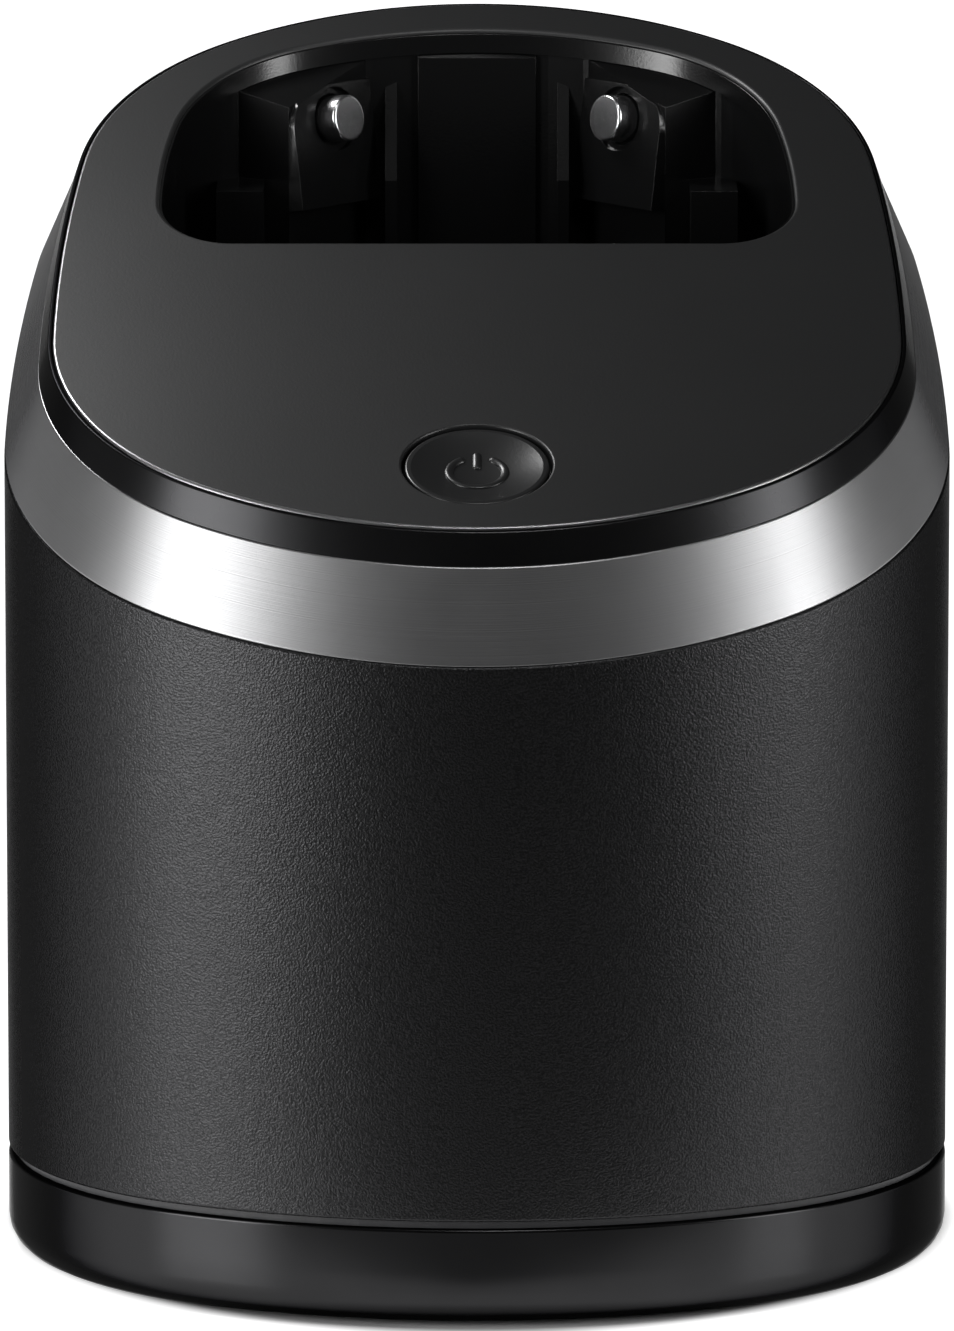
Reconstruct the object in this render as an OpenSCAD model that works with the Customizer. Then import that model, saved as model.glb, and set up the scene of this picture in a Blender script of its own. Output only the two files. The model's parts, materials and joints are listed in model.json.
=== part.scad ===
// Cordless cleaning station for an electric shaver.
// The shaver stands head down in the well. Two sprung pins in the rear wall of the well meet its
// contacts, and a button on the sloping panel starts a small pump, which lifts cleaning fluid from
// a round cartridge in the base. The whole housing lifts off the base to change the cartridge.
// Front is -Y, up is +Z, and the origin lies under the middle of the plan, on the table.

/* [Plan outline] */
// Half of the width, at the widest line
half_w = 55; // [52:0.5:60]
// Distance from the widest line to the front
front_reach = 45; // [43.5:0.5:50]
// How much shorter than the front reach the radius of the two front corners is
nose_less = 3.8; // [3:0.1:5]
// Radius of the nearly straight sides
side_r = 290; // [220:5:400]
// Angle that each side turns through
side_a = 7.7; // [6:0.1:9]
// Radius of the two rear corners
rear_corner_r = 43; // [39:0.5:46]
// Angle at which the rear corners end
rear_a = 58; // [54:1:62]

/* [Sloping top] */
// Height of the sloping panel over the origin
deck_h = 114.7; // [112:0.1:125]
// Slope of the panel, from front to back
slope = 21.8; // [19:0.1:24]
// Thickness of the panel
panel_t = 2.6; // [2:0.1:3.2]
// How far the panel's edge lies inside the outline
panel_in = 5.7; // [5.2:0.1:6.5]
// How far the upper edge of the metal band lies inside the outline
band_in = 4; // [3.4:0.1:4.2]
// Height from the upper edge of the band to the panel
bezel_h = 3.6; // [3:0.1:4.5]
// Height of the metal band
band_h = 9.3; // [7:0.1:12]
// Thickness of the band
band_t = 2; // [1.6:0.1:2.4]

/* [Housing wall] */
// Thickness of the outer sleeve
sleeve_t = 2.2; // [1.8:0.1:2.6]
// Height of the sleeve's lower edge
sleeve_z = 12.75; // [11:0.05:16]

/* [Base] */
// Height of the gloss base ring's top edge over the base plate's underside
ring_h = 11.45; // [9:0.05:12]
// Radius of the rounded lower edge
ring_round = 4; // [3:0.1:5]
// Thickness of the base ring's wall
ring_t = 2.4; // [2:0.1:2.8]
// Height of the feet under the base
foot_h = 0.4; // [0.3:0.1:1]
// Radius of the feet
foot_r = 6; // [4:0.5:8]
// Wall of the base tray
tray_t = 2; // [1.6:0.1:2.6]
// Height of the tray's floor
tray_z = 2.4; // [2.2:0.1:3]
// Height of the tray's rim, which guides the sleeve
spigot_z = 24; // [20:0.5:30]
// Depth of the groove between sleeve and base ring
groove_d = 0.9; // [0.6:0.1:1.3]

/* [Cartridge] */
// Outer radius of the cartridge
cup_r = 45; // [40:0.5:46]
// Gap between the cartridge's lid and the pump over it
lid_gap = 2.6; // [1.8:0.1:4]
// Wall of the cartridge
cup_t = 1.6; // [1.2:0.1:2]
// Thickness of the cartridge's lid
lid_t = 2.4; // [1.8:0.1:3]

/* [Well] */
// Distance of the well's rear edge inside the outline
well_back = 11.52; // [11.2:0.02:13]
// Half width of the well
well_w = 37.6; // [35:0.1:39]
// Radius of the well's front corners
well_front_r = 8.8; // [7:0.1:11]
// Radius of the well's sides
well_side_r = 85; // [75:1:110]
// Angle that each side of the well turns through
well_side_a = 11.5; // [10:0.1:13]
// Radius of the well's rear corners
well_rear_r = 23.8; // [21:0.1:26]
// Angle at which the well's rear corners end
well_rear_a = 69; // [66:0.5:70]
// Wall of the well liner
liner_t = 1.8; // [1.4:0.1:2.2]
// Depth of the well's floor under the panel's height over the origin
well_depth = 34.7; // [32:0.1:37]

/* [Button] */
// Radius of the button's hole in the panel
button_hole_r = 8.7; // [7.5:0.1:9.5]
// Gap between the button and its hole
button_gap = 0.4; // [0.3:0.05:0.6]
// Distance of the button in front of the origin, along the slope
button_v = -46.6; // [-48:0.1:-44]
// Travel of the button
button_travel = 0.8; // [0.5:0.1:1]
// Depth of the dish in the button
dish_d = 1.2; // [0.8:0.1:1.6]

/* [Contact pins] */
// Radius of the pins
pin_r = 2.8; // [2.4:0.1:3.2]
// Distance of each pin's face from the middle
pin_x = 15.3; // [14:0.1:17]
// Distance of each pin's face in front of the well's rear edge
pin_back = 8.43; // [7.8:0.01:9]
// Height of each pin's face over the panel's height over the origin
pin_rise = 10.6; // [9.5:0.1:11]
// Angle that the pins turn inwards
pin_turn = 50; // [45:1:55]
// Angle that the pins look up
pin_lift = 8; // [5:1:10]
// How far the pins stand out of their pedestals
pin_out = 2.2; // [1.6:0.1:2.8]
// Travel of the pins
pin_travel = 1; // [0.5:0.1:1.4]

/* [Pump] */
// Distance of the pump's middle behind the front of the outline
pump_back = 35.95; // [34:0.05:37]
// Radius of the pump's body
pump_r = 15; // [14:0.5:16]
// Distance of the frame that carries the pump under the well's floor
frame_drop = 13; // [12.2:0.1:13.4]
// Thickness of the frame
frame_t = 2.5; // [2:0.1:3]
// Radius of the motor
motor_r = 12; // [10:0.5:12.5]
// Height of the motor
motor_h = 15; // [12:0.5:17]
// Radius of the motor's shaft
shaft_r = 1; // [0.8:0.1:1.5]
// Outer radius of the hoses
hose_r = 3; // [2.6:0.1:3.4]
// Inner radius of the hoses
hose_bore_r = 2; // [1.6:0.1:2.2]
// Radius of the drain pipe
drain_r = 6; // [5:0.5:7]
// Distance of the drain behind the well's front edge
drain_back = 20.7; // [18:0.1:23]

/* [Hidden] */
$fn = 96;

// Clearances
slide_gap = 0.4;   // between the sleeve and the tray that guides it
seat_gap = 0.3;    // between pieces that lie beside each other
fine_gap = 0.1;    // between a piece and the seat made for it
run_gap = 0.05;    // radial, between a shaft and its bore
eps = 0.01;
far = 400;         // larger than the whole station

// Plan outline: five tangent arcs on each side, all worked out from the sizes above
front_corner_r = front_reach - nose_less;
front_corner_c = [half_w - front_corner_r, 0];
nose_r = (pow(front_corner_c[0], 2) + pow(front_reach, 2) - pow(front_corner_r, 2))
  / (2 * nose_less);
nose_y = nose_r - front_reach;
nose_a = atan2(-nose_y, front_corner_c[0]);
side_c = [half_w - side_r, 0];
rear_corner_c = side_c + (side_r - rear_corner_r) * dir(side_a);
rear_r = rear_corner_r + rear_corner_c[0] / cos(rear_a);
rear_y = rear_corner_c[1] - (rear_r - rear_corner_r) * sin(rear_a);
plan_shift = (front_reach - rear_y - rear_r) / 2;
rear_end = rear_y + rear_r + plan_shift;

// Well outline: a straight front edge, here at 0, then four tangent arcs on each side
well_corner_c = [well_w - well_front_r, well_front_r];
well_side_c = [well_w - well_side_r, well_front_r];
well_rear_c = well_side_c + (well_side_r - well_rear_r) * dir(well_side_a);
well_back_r = well_rear_r + well_rear_c[0] / cos(well_rear_a);
well_back_y = well_rear_c[1] - (well_back_r - well_rear_r) * sin(well_rear_a);
well_rear = rear_end - well_back;
well_front = well_rear - well_back_y - well_back_r;

// Heights of the edges over the origin, each on a plane parallel to the panel
band_top = deck_h - bezel_h;
band_low = band_top - band_h;

// Levels and places inside the housing
well_z = deck_h - well_depth;
frame_z = well_z - frame_drop;
frame_top = frame_z + frame_t;
pump_h = 10;                       // height of the pump's body
pump_z = frame_z - pump_h;         // its underside
pump_y = snap(pump_back - rear_end);
cover_t = 2;
drain_y = snap(well_front + drain_back);

function dir(a) = [cos(a), sin(a)];
// Places that follow from the outlines are rounded to a tenth of a millimetre
function snap(x) = round(10 * x) / 10;

// Points of the two outlines. Each has its outward normal along a, from -90 to 270 degrees.
function plan_half(a, inset) =
  a < nose_a ? [0, nose_y] + (nose_r - inset) * dir(a)
  : a < 0 ? front_corner_c + (front_corner_r - inset) * dir(a)
  : a < side_a ? side_c + (side_r - inset) * dir(a)
  : a < rear_a ? rear_corner_c + (rear_corner_r - inset) * dir(a)
  : [0, rear_y] + (rear_r - inset) * dir(a);
function well_half(a, inset) =
  a < 0 ? well_corner_c + (well_front_r - inset) * dir(a)
  : a < well_side_a ? well_side_c + (well_side_r - inset) * dir(a)
  : a < well_rear_a ? well_rear_c + (well_rear_r - inset) * dir(a)
  : [0, well_back_y] + (well_back_r - inset) * dir(a);
function both_halves(p, right) = [right ? p[0] : -p[0], p[1]];
function plan_point(a, inset) =
  both_halves(plan_half(a <= 90 ? a : 180 - a, inset), a <= 90) + [0, plan_shift];
function well_point(a, inset) =
  both_halves(well_half(a <= 90 ? a : 180 - a, inset), a <= 90) + [0, well_front];

// Angles at which the outlines are sampled, closer together where they are nearly straight
function spread(a0, a1, n) = [for (i = [0:n - 1]) a0 + (a1 - a0) * i / n];
function around(half, last) =
  concat(half, [90], [for (i = [len(half) - 1:-1:last]) 180 - half[i]]);
plan_angles = around(concat(
  spread(-90, nose_a, 8), spread(nose_a, 0, 12), spread(0, side_a, 6),
  spread(side_a, rear_a, 10), spread(rear_a, 90, 8)
), 1);
well_angles = around(concat(
  spread(-90, 0, 8), spread(0, well_side_a, 5), spread(well_side_a, well_rear_a, 12),
  spread(well_rear_a, 90, 5)
), 0);

module plan(inset = 0) {
  polygon([for (a = plan_angles) plan_point(a, inset)]);
}

module well_plan(inset = 0) {
  polygon([for (a = well_angles) well_point(a, inset)]);
}

// A wall that follows the plan between two insets and two heights
module plan_wall(outer, inner, z0, z1) {
  translate([0, 0, z0]) linear_extrude(z1 - z0) difference() {
    plan(outer);
    plan(inner);
  }
}

// Local frame of the sloping panel: x across, y up the slope, z square to the panel
module on_deck(x = 0, v = 0, w = 0) {
  translate([0, 0, deck_h]) rotate([slope, 0, 0]) translate([x, v, w]) children();
}

// Everything between two planes parallel to the panel
module deck_slab(low, high) {
  on_deck(-far / 2, -far / 2, low) cube([far, far, high - low]);
}

// A closed ring around the plan. Each point of the profile is [inset, height, tilt]: the height is
// flat where tilt is 0, and follows the slope of the panel where tilt is 1.
module swept_ring(profile) {
  m = len(profile);
  steps = len(plan_angles);
  ring_points = [
    for (a = plan_angles) for (p = profile)
      let (q = plan_point(a, p[0])) [q[0], q[1], p[1] + p[2] * q[1] * tan(slope)]
  ];
  faces = [
    for (i = [0:steps - 1]) for (j = [0:m - 1])
      let (a = i * m, b = (i + 1) % steps * m, k = (j + 1) % m)
        each [[a + j, b + j, b + k], [a + j, b + k, a + k]]
  ];
  polyhedron(points = ring_points, faces = faces);
}

// A coil spring along z, from 0 to h, with its wire's centre at r
module coil(r, h, wire_r, turns) {
  rings = 8 * turns;
  sides = 6;
  coil_points = [
    for (i = [0:rings]) for (s = [0:sides - 1])
      let (a = 360 * i / 8, q = 360 * s / sides, d = r + wire_r * cos(q))
        [d * cos(a), d * sin(a), wire_r + (h - 2 * wire_r) * i / rings + wire_r * sin(q)]
  ];
  faces = [
    [for (s = [0:sides - 1]) s],
    [for (s = [sides - 1:-1:0]) rings * sides + s],
    for (i = [0:rings - 1]) for (s = [0:sides - 1])
      let (a = i * sides, b = a + sides, t = (s + 1) % sides)
        each [[a + s, b + t, a + t], [a + s, b + s, b + t]]
  ];
  polyhedron(points = coil_points, faces = faces);
}

// A pan-head screw that points down from its head
module screw(thread_r, length, head_r, head_h) {
  translate([0, 0, -length]) cylinder(h = length + eps, r = thread_r);
  difference() {
    cylinder(h = head_h, r = head_r);
    for (turn = [0, 90])
      rotate([0, 0, turn]) translate([-head_r * 0.6, -head_r * 0.13, head_h / 2])
        cube([head_r * 1.2, head_r * 0.26, head_h]);
  }
}

module tube(h, outer_r, inner_r) {
  difference() {
    cylinder(h = h, r = outer_r);
    translate([0, 0, -1]) cylinder(h = h + 2, r = inner_r);
  }
}

// A wire along a list of points, none of them straight above the one before
module wire(route, r, sides = 8) {
  n = len(route);
  wire_points = [
    for (i = [0:n - 1])
      let (along = route[min(i + 1, n - 1)] - route[max(i - 1, 0)],
        across = cross(along, [0, 0, 1]) / norm(cross(along, [0, 0, 1])),
        up = cross(across, along) / norm(along))
        for (s = [0:sides - 1])
          route[i] + r * (cos(360 * s / sides) * across + sin(360 * s / sides) * up)
  ];
  faces = [
    [for (s = [0:sides - 1]) s],
    [for (s = [sides - 1:-1:0]) (n - 1) * sides + s],
    for (i = [0:n - 2]) for (s = [0:sides - 1])
      let (a = i * sides, b = a + sides, t = (s + 1) % sides)
        each [[a + s, b + t, a + t], [a + s, b + s, b + t]]
  ];
  polyhedron(points = wire_points, faces = faces);
}

/* Base */

plate_in = 9.4;                       // inset of the base plate
flange_in = plate_in - seat_gap;      // inset of the base ring's inner edge
plate_t = 1.6;
ring_top = foot_h + ring_h;
tray_in = ring_t + fine_gap;          // inset of the tray's wall
base_screw_points = [for (a = [-62, 20, 160, 242]) plan_point(a, 17)];
foot_points = [for (a = [-35, 55, 125, 215]) plan_point(a, 18)];
base_thread_r = 1.2;
base_screw_l = 3;
base_head_r = 2.2;
base_head_h = 0.9;

module base_ring() {
  color([0.03, 0.03, 0.035])
    swept_ring(concat(
      [[flange_in, foot_h, 0]],
      [for (t = [0:18:90]) [ring_round * (1 - sin(t)), foot_h + ring_round * (1 - cos(t)), 0]],
      [[0, ring_top - 0.35, 0], [0.35, ring_top, 0], [ring_t, ring_top, 0], [ring_t, tray_z, 0],
        [flange_in, tray_z, 0]]
    ));
}

seat_rib_r = cup_r + 0.6;
seat_rib_t = 1.4;
tray_floor_t = 2.6;
cup_z = tray_z + tray_floor_t;
gasket_z = 17.5;
gasket_h = 2;
gasket_d = 0.9;

module base_tray() {
  color([0.13, 0.13, 0.14]) difference() {
    union() {
      translate([0, 0, tray_z]) linear_extrude(tray_floor_t) plan(tray_in);
      plan_wall(sleeve_t + slide_gap, sleeve_t + slide_gap + tray_t, tray_z, spigot_z);
      plan_wall(groove_d, sleeve_t + slide_gap + 0.5, ring_top, sleeve_z);
      translate([0, 0, cup_z - eps]) tube(3, seat_rib_r + seat_rib_t, seat_rib_r);
    }
    for (p = base_screw_points)
      translate([p[0], p[1], tray_z - 1]) cylinder(h = base_screw_l + 0.4, r = base_thread_r);
    plan_wall(0, sleeve_t + slide_gap + gasket_d, gasket_z, gasket_z + gasket_h);
  }
}

module base_gasket() {
  color([0.08, 0.08, 0.08])
    plan_wall(sleeve_t + 0.15, sleeve_t + slide_gap + gasket_d, gasket_z + eps,
      gasket_z + gasket_h - eps);
}

module base_plate() {
  color([0.1, 0.1, 0.1]) difference() {
    translate([0, 0, foot_h + 0.4]) linear_extrude(plate_t) plan(plate_in);
    for (p = foot_points)
      translate([p[0], p[1], 0]) cylinder(h = foot_h + 0.4 + plate_t / 2, r = foot_r + fine_gap);
    for (p = base_screw_points) translate([p[0], p[1], 0]) {
      cylinder(h = 4, r = base_thread_r + fine_gap);
      cylinder(h = foot_h + 0.4 + plate_t / 2, r = base_head_r + 0.2);
    }
  }
}

module rubber_feet() {
  color([0.05, 0.05, 0.05]) for (p = foot_points)
    translate([p[0], p[1], 0]) cylinder(h = foot_h + 0.4 + plate_t / 2, r = foot_r);
}

module base_screws() {
  color("silver") for (p = base_screw_points)
    translate([p[0], p[1], foot_h + 0.4 + plate_t / 2]) mirror([0, 0, 1])
      screw(base_thread_r, base_screw_l, base_head_r, base_head_h);
}

/* Cartridge */

cup_top = pump_z - cover_t - lid_gap - lid_t;
cup_h = cup_top - cup_z;
lid_ring_r = cup_r - 4.4 - cup_t;   // inner radius of the ring under the lid
lid_r = cup_r + 1.2;
inlet_hole_r = 6;
return_hole_r = 8.5;

module cartridge_cup() {
  color([0.35, 0.55, 0.75, 0.6]) translate([0, 0, cup_z]) difference() {
    union() {
      cylinder(h = cup_h, r = cup_r - 1);
      translate([0, 0, 6]) cylinder(h = cup_h - 6, r = cup_r);
      cylinder(h = 6 + eps, r1 = cup_r - 1, r2 = cup_r);
    }
    translate([0, 0, 1.8]) cylinder(h = cup_h, r = cup_r - 1 - cup_t);
  }
}

module cartridge_lid() {
  color([0.2, 0.35, 0.6]) translate([0, 0, cup_top]) difference() {
    union() {
      cylinder(h = lid_t, r = lid_r);
      translate([0, 0, -3]) tube(3 + eps, cup_r - 1 - cup_t - fine_gap, lid_ring_r);
    }
    translate([0, pump_y, -5]) cylinder(h = 12, r = inlet_hole_r);
    translate([0, drain_y, -5]) cylinder(h = 12, r = return_hole_r);
    for (x = [-28, 28]) translate([x, 0, -5]) cylinder(h = 12, r = 1.5);
  }
}

filter_r = lid_ring_r - drain_y - 1;
filter_h = 14;

module cartridge_filter() {
  color([0.85, 0.85, 0.8]) translate([0, drain_y, cup_top - filter_h]) difference() {
    cylinder(h = filter_h - fine_gap, r = filter_r);
    translate([0, 0, 2]) cylinder(h = filter_h, r = filter_r - 2);
    for (a = [0:30:330]) rotate([0, 0, a]) translate([0, -0.8, 4]) cube([filter_r + 2, 1.6, 6]);
  }
}

/* Housing shell */

boss_angles = [-48, 42, 138, 228];
boss_in = 5.5;
boss_r = 3.6;
frame_boss_h = 12;
frame_thread_r = 1.3;
frame_screw_l = 9;
frame_head_r = 2.5;
frame_head_h = 1.6;

module outer_sleeve() {
  color([0.16, 0.16, 0.17]) difference() {
    intersection() {
      union() {
        plan_wall(0, sleeve_t, sleeve_z, deck_h + half_w);
        for (a = boss_angles) {
          p = plan_point(a, boss_in);
          translate([p[0], p[1], frame_z - frame_boss_h]) cylinder(h = frame_boss_h, r = boss_r);
        }
      }
      deck_slab(-far, (band_low - deck_h) * cos(slope) - eps);
    }
    for (a = boss_angles) {
      p = plan_point(a, boss_in);
      translate([p[0], p[1], frame_z - frame_screw_l])
        cylinder(h = frame_screw_l + 1, r = frame_thread_r - fine_gap);
    }
  }
}

lip_in = sleeve_t + seat_gap;
lip_h = 2.5;

module trim_band() {
  color([0.5, 0.5, 0.52])
    swept_ring([
      [lip_in, band_low, 1], [lip_in, band_low - lip_h, 1], [lip_in + 1.6, band_low - lip_h, 1],
      [lip_in + 1.6, band_low, 1], [band_in + band_t, band_top, 1], [band_in, band_top, 1],
      [0, band_low, 1]
    ]);
}

bezel_lip_in = band_in + band_t + 0.2;
bezel_lip_h = 1.6;
bezel_inner = bezel_lip_in + 2;
ledge_h = panel_t / cos(slope) + fine_gap;

module bezel_ring() {
  color([0.02, 0.02, 0.02])
    swept_ring([
      [bezel_lip_in, band_top + eps, 1], [bezel_lip_in, band_top - bezel_lip_h, 1],
      [bezel_inner, band_top - bezel_lip_h, 1], [bezel_inner, deck_h - ledge_h, 1],
      [panel_in - 0.15, deck_h - ledge_h, 1], [panel_in - 0.15, deck_h - 0.15, 1],
      [panel_in - 0.4, deck_h - 0.15, 1], [band_in, band_top + eps, 1]
    ]);
}

board_w = -12.6;             // underside of the board, square to the panel
board_t = 1.6;
board_half = 22;
board_v0 = button_v - 7.5;
board_v1 = button_v + 16;
post_points = [for (x = [-18, 18]) for (v = [board_v0 + 3.5, board_v1 - 3.5]) [x, v]];
post_r = 2.6;
post_bore_r = 0.9;
board_top = board_w + board_t;
guide_r = button_hole_r + 2.1;

module top_panel() {
  color([0.24, 0.24, 0.25]) difference() {
    union() {
      intersection() {
        linear_extrude(far / 2) plan(panel_in);
        deck_slab(-panel_t, 0);
      }
      on_deck(0, button_v, -panel_t - 4) tube(4 + eps, guide_r + 1.2, guide_r);
      for (p = post_points) on_deck(p[0], p[1], board_top)
        cylinder(h = -panel_t - board_top + eps, r = post_r);
    }
    linear_extrude(far / 2) well_plan();
    on_deck(0, button_v, -panel_t - 1) cylinder(h = panel_t + 2, r = button_hole_r);
    for (p = post_points) on_deck(p[0], p[1], board_top - 1) cylinder(h = 6, r = post_bore_r);
  }
}

/* Well */

floor_t = 2;
liner_floor = well_z - floor_t;
flange_out = 2.2;
flange_t = 1.6;
liner_boss_x = well_w - 13.6;
liner_boss_points = [
  for (x = [-liner_boss_x, liner_boss_x]) for (y = [9.7, 31.7]) [x, snap(well_front + y)]
];
liner_thread_r = 1.2;
liner_screw_l = 8;
liner_head_r = 2.4;
liner_head_h = 1.5;
nozzle_x = 11;
nozzle_y = snap(well_front + 10.2);
pin_flange_t = 1;
pin_flange_r = pin_r + 0.6;
pin_well_r = pin_flange_r + seat_gap;  // radius of the hollow behind each pin
pin_wall = 3;                       // wall in front of the pin's flange
pin_stop = -pin_out - pin_wall;     // front of the pin's flange, behind its face
spring_h = 3.4;
plug_z = pin_stop - pin_flange_t - spring_h;
holder_r = pin_well_r + 1;
pad_inner = -6.8;                   // edges of the pad round each pin, along the pad
pad_outer = 7.8;
pad_below = 10.3;                   // edges of the pad under and over the pin
pad_above = 4.2;
pad_round = 5;
pad_step = 0.8;                     // how far the pad stands out of the column below it
pin_dir = [-sin(pin_turn), -cos(pin_turn)];
pin_along = [-pin_dir[1], pin_dir[0]];
pin_y = snap(well_rear - pin_back);
pin_z = deck_h + pin_rise;
column_mid = [pin_x, pin_y] - (pin_out + pad_step) * pin_dir;
column_in = column_mid + pad_inner * pin_along;
column_out = column_mid + pad_outer * pin_along;
plate_half = 7.1;
fin_x = 10.4;                       // a guide rib on each side of the middle
fin_t = 1.4;
fin_d = 6;

// Frame of the pins: z points out of the wall, and 0 lies on the pin's face. x points away from
// the middle of the well along the pad, and y up.
module at_pin(side) {
  mirror([side < 0 ? 1 : 0, 0, 0]) translate([pin_x, pin_y, pin_z])
    rotate([0, 0, -pin_turn]) rotate([90 - pin_lift, 0, 0]) children();
}

// A column that stands on the floor of the well and grows out of its wall
module column(top) {
  translate([0, 0, liner_floor]) linear_extrude(top - liner_floor) intersection() {
    well_plan(-liner_t / 2);
    children();
  }
}

module pad_outline() {
  difference() {
    translate([pad_inner, -pad_below]) square([pad_outer - pad_inner, pad_below + pad_above]);
    translate([pad_outer - pad_round, pad_above - pad_round]) difference() {
      square(pad_round + 1);
      circle(r = pad_round);
    }
  }
}

// The columns, pads and ribs on one side of the rear wall
module rear_wall_forms() {
  column(deck_h + well_rear)
    polygon([
      column_in, column_out, column_out + [6.5, 4], column_out + [6.5, 24], column_in + [0, 24]
    ]);
  column(pin_z - 7.2) translate([well_w - 12, well_rear - 20.4]) square([5.6, 20]);
  translate([fin_x - fin_t / 2, 0, 0]) rotate([90, 0, 90]) linear_extrude(fin_t)
    polygon([
      [well_rear + 0.4, liner_floor], [well_rear - fin_d, liner_floor],
      [well_rear - fin_d, pin_z - 8], [well_rear + 0.4, pin_z + 6]
    ]);
  column(deck_h + well_rear) translate([0, well_rear - 1.2]) square([plate_half, 2]);
  intersection() {
    at_pin(1) translate([0, 0, pin_stop - 1]) linear_extrude(pin_wall + 1) pad_outline();
    column(deck_h + well_rear) square(far / 2);
  }
}

module well_liner() {
  color([0.03, 0.03, 0.03]) difference() {
    union() {
      intersection() {
        deck_slab(-far, -panel_t);
        union() {
          difference() {
            translate([0, 0, liner_floor]) linear_extrude(far / 2) well_plan(-liner_t);
            translate([0, 0, well_z]) linear_extrude(far / 2) well_plan();
          }
          rear_wall_forms();
          mirror([1, 0, 0]) rear_wall_forms();
        }
      }
      difference() {
        intersection() {
          deck_slab(-panel_t - flange_t, -panel_t);
          linear_extrude(far / 2) well_plan(-flange_out);
        }
        linear_extrude(far / 2) well_plan(-liner_t / 2);
      }
      for (p = liner_boss_points)
        translate([p[0], p[1], frame_top]) cylinder(h = liner_floor - frame_top + eps, r = 3.2);
      for (side = [-1, 1]) at_pin(side) translate([0, 0, plug_z - plug_t])
        cylinder(h = spring_h + plug_t, r = holder_r);
    }
    for (side = [-1, 1]) at_pin(side) {
      translate([0, 0, pin_stop - eps]) cylinder(h = far / 20, r = pin_r + seat_gap);
      translate([0, 0, plug_z - plug_t - 1])
        cylinder(h = pin_stop - plug_z + plug_t + 1, r = pin_well_r);
      translate([0, 0, -pin_out - 0.8]) cylinder(h = far / 20, r = pin_r + 1.1);
    }
    for (p = liner_boss_points)
      translate([p[0], p[1], frame_top - 1])
        cylinder(h = liner_screw_l, r = liner_thread_r - fine_gap);
    translate([0, drain_y, liner_floor - 1]) cylinder(h = floor_t + 2, r = drain_r + 2.4);
    translate([nozzle_x, nozzle_y, liner_floor - 1])
      cylinder(h = floor_t + 2, r = hose_r + fine_gap);
  }
}

module drain_strainer() {
  color([0.5, 0.5, 0.5]) translate([0, drain_y, well_z]) difference() {
    union() {
      cylinder(h = 1, r = drain_r + 4);
      translate([0, 0, -floor_t]) cylinder(h = floor_t + eps, r = drain_r + 2.3);
    }
    translate([0, 0, -floor_t - 1]) cylinder(h = floor_t + 1, r = drain_r - 1.5);
    for (r = [2.2, 4.1]) for (a = [0:360 / round(r * 2.8):359])
      rotate([0, 0, a]) translate([r - 0.3, 0, -2]) cylinder(h = 4, r = 0.6, $fn = 24);
  }
}

module spray_nozzle() {
  color([0.4, 0.4, 0.4]) translate([nozzle_x, nozzle_y, well_z]) difference() {
    union() {
      cylinder(h = 1.2, r = hose_r + 1.6);
      cylinder(h = 4, r1 = hose_r + 0.6, r2 = hose_r - 0.6);
      translate([0, 0, -floor_t - 5]) cylinder(h = floor_t + 5 + eps, r = hose_bore_r - fine_gap);
    }
    translate([0, 0, -floor_t - 6]) cylinder(h = floor_t + 8, r = 1);
    for (a = [0:60:300]) rotate([0, 0, a]) translate([1.2, 0, 1])
      cylinder(h = 4, r = 0.4, $fn = 24);
  }
}

/* Pump and pipes */

chamber_h = 6.5;
chamber_r = pump_r - 2.5;
outlet_z = frame_z - 6;
bend_r = 6;
bend_y = nozzle_y - bend_r;
hose_y0 = pump_y + pump_r - 1.5;
pump_screw_points = [for (a = [30, 150, 270]) pump_r * dir(a)];
pump_lug_r = 2.6;
pump_thread_r = 1.05;

module inner_frame() {
  color([0.3, 0.3, 0.31]) difference() {
    union() {
      translate([0, 0, frame_z]) linear_extrude(frame_t) plan(sleeve_t + slide_gap);
      translate([0, pump_y, frame_top - eps]) tube(4, motor_r + 2, motor_r + 0.2);
    }
    translate([0, pump_y, frame_z - 1]) cylinder(h = frame_t + 2, r = 5);
    translate([0, drain_y, frame_z - 1]) cylinder(h = frame_t + 2, r = drain_r + seat_gap);
    translate([nozzle_x, nozzle_y, frame_z - 1]) cylinder(h = frame_t + 2, r = hose_r + seat_gap);
    for (a = boss_angles) {
      p = plan_point(a, boss_in);
      translate([p[0], p[1], frame_z - 1]) cylinder(h = frame_t + 2, r = frame_thread_r + 0.2);
    }
    for (p = liner_boss_points)
      translate([p[0], p[1], frame_z - 1]) cylinder(h = frame_t + 2, r = liner_thread_r + 0.2);
    for (p = pump_screw_points)
      translate([p[0], p[1] + pump_y, frame_z - 1])
        cylinder(h = frame_t + 2, r = pump_thread_r + fine_gap + run_gap);
  }
}

module frame_screws() {
  color("silver") for (a = boss_angles) {
    p = plan_point(a, boss_in);
    translate([p[0], p[1], frame_top])
      screw(frame_thread_r - fine_gap, frame_screw_l, frame_head_r, frame_head_h);
  }
}

module liner_screws() {
  color("silver") for (p = liner_boss_points)
    translate([p[0], p[1], frame_z]) mirror([0, 0, 1])
      screw(liner_thread_r - fine_gap, liner_screw_l, liner_head_r, liner_head_h);
}

module pump_motor() {
  color([0.7, 0.7, 0.72]) translate([0, pump_y, frame_top]) difference() {
    union() {
      cylinder(h = motor_h, r = motor_r);
      translate([0, 0, motor_h - eps]) cylinder(h = 1.2, r = 4);
      translate([0, 0, -2]) cylinder(h = 2 + eps, r = 3);
    }
    translate([0, 0, -4]) cylinder(h = motor_h + 8, r = shaft_r + run_gap);
  }
}

module motor_shaft() {
  color("silver") translate([0, pump_y, pump_z + 1])
    cylinder(h = frame_top - pump_z + motor_h + 1.6, r = shaft_r);
}

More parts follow.
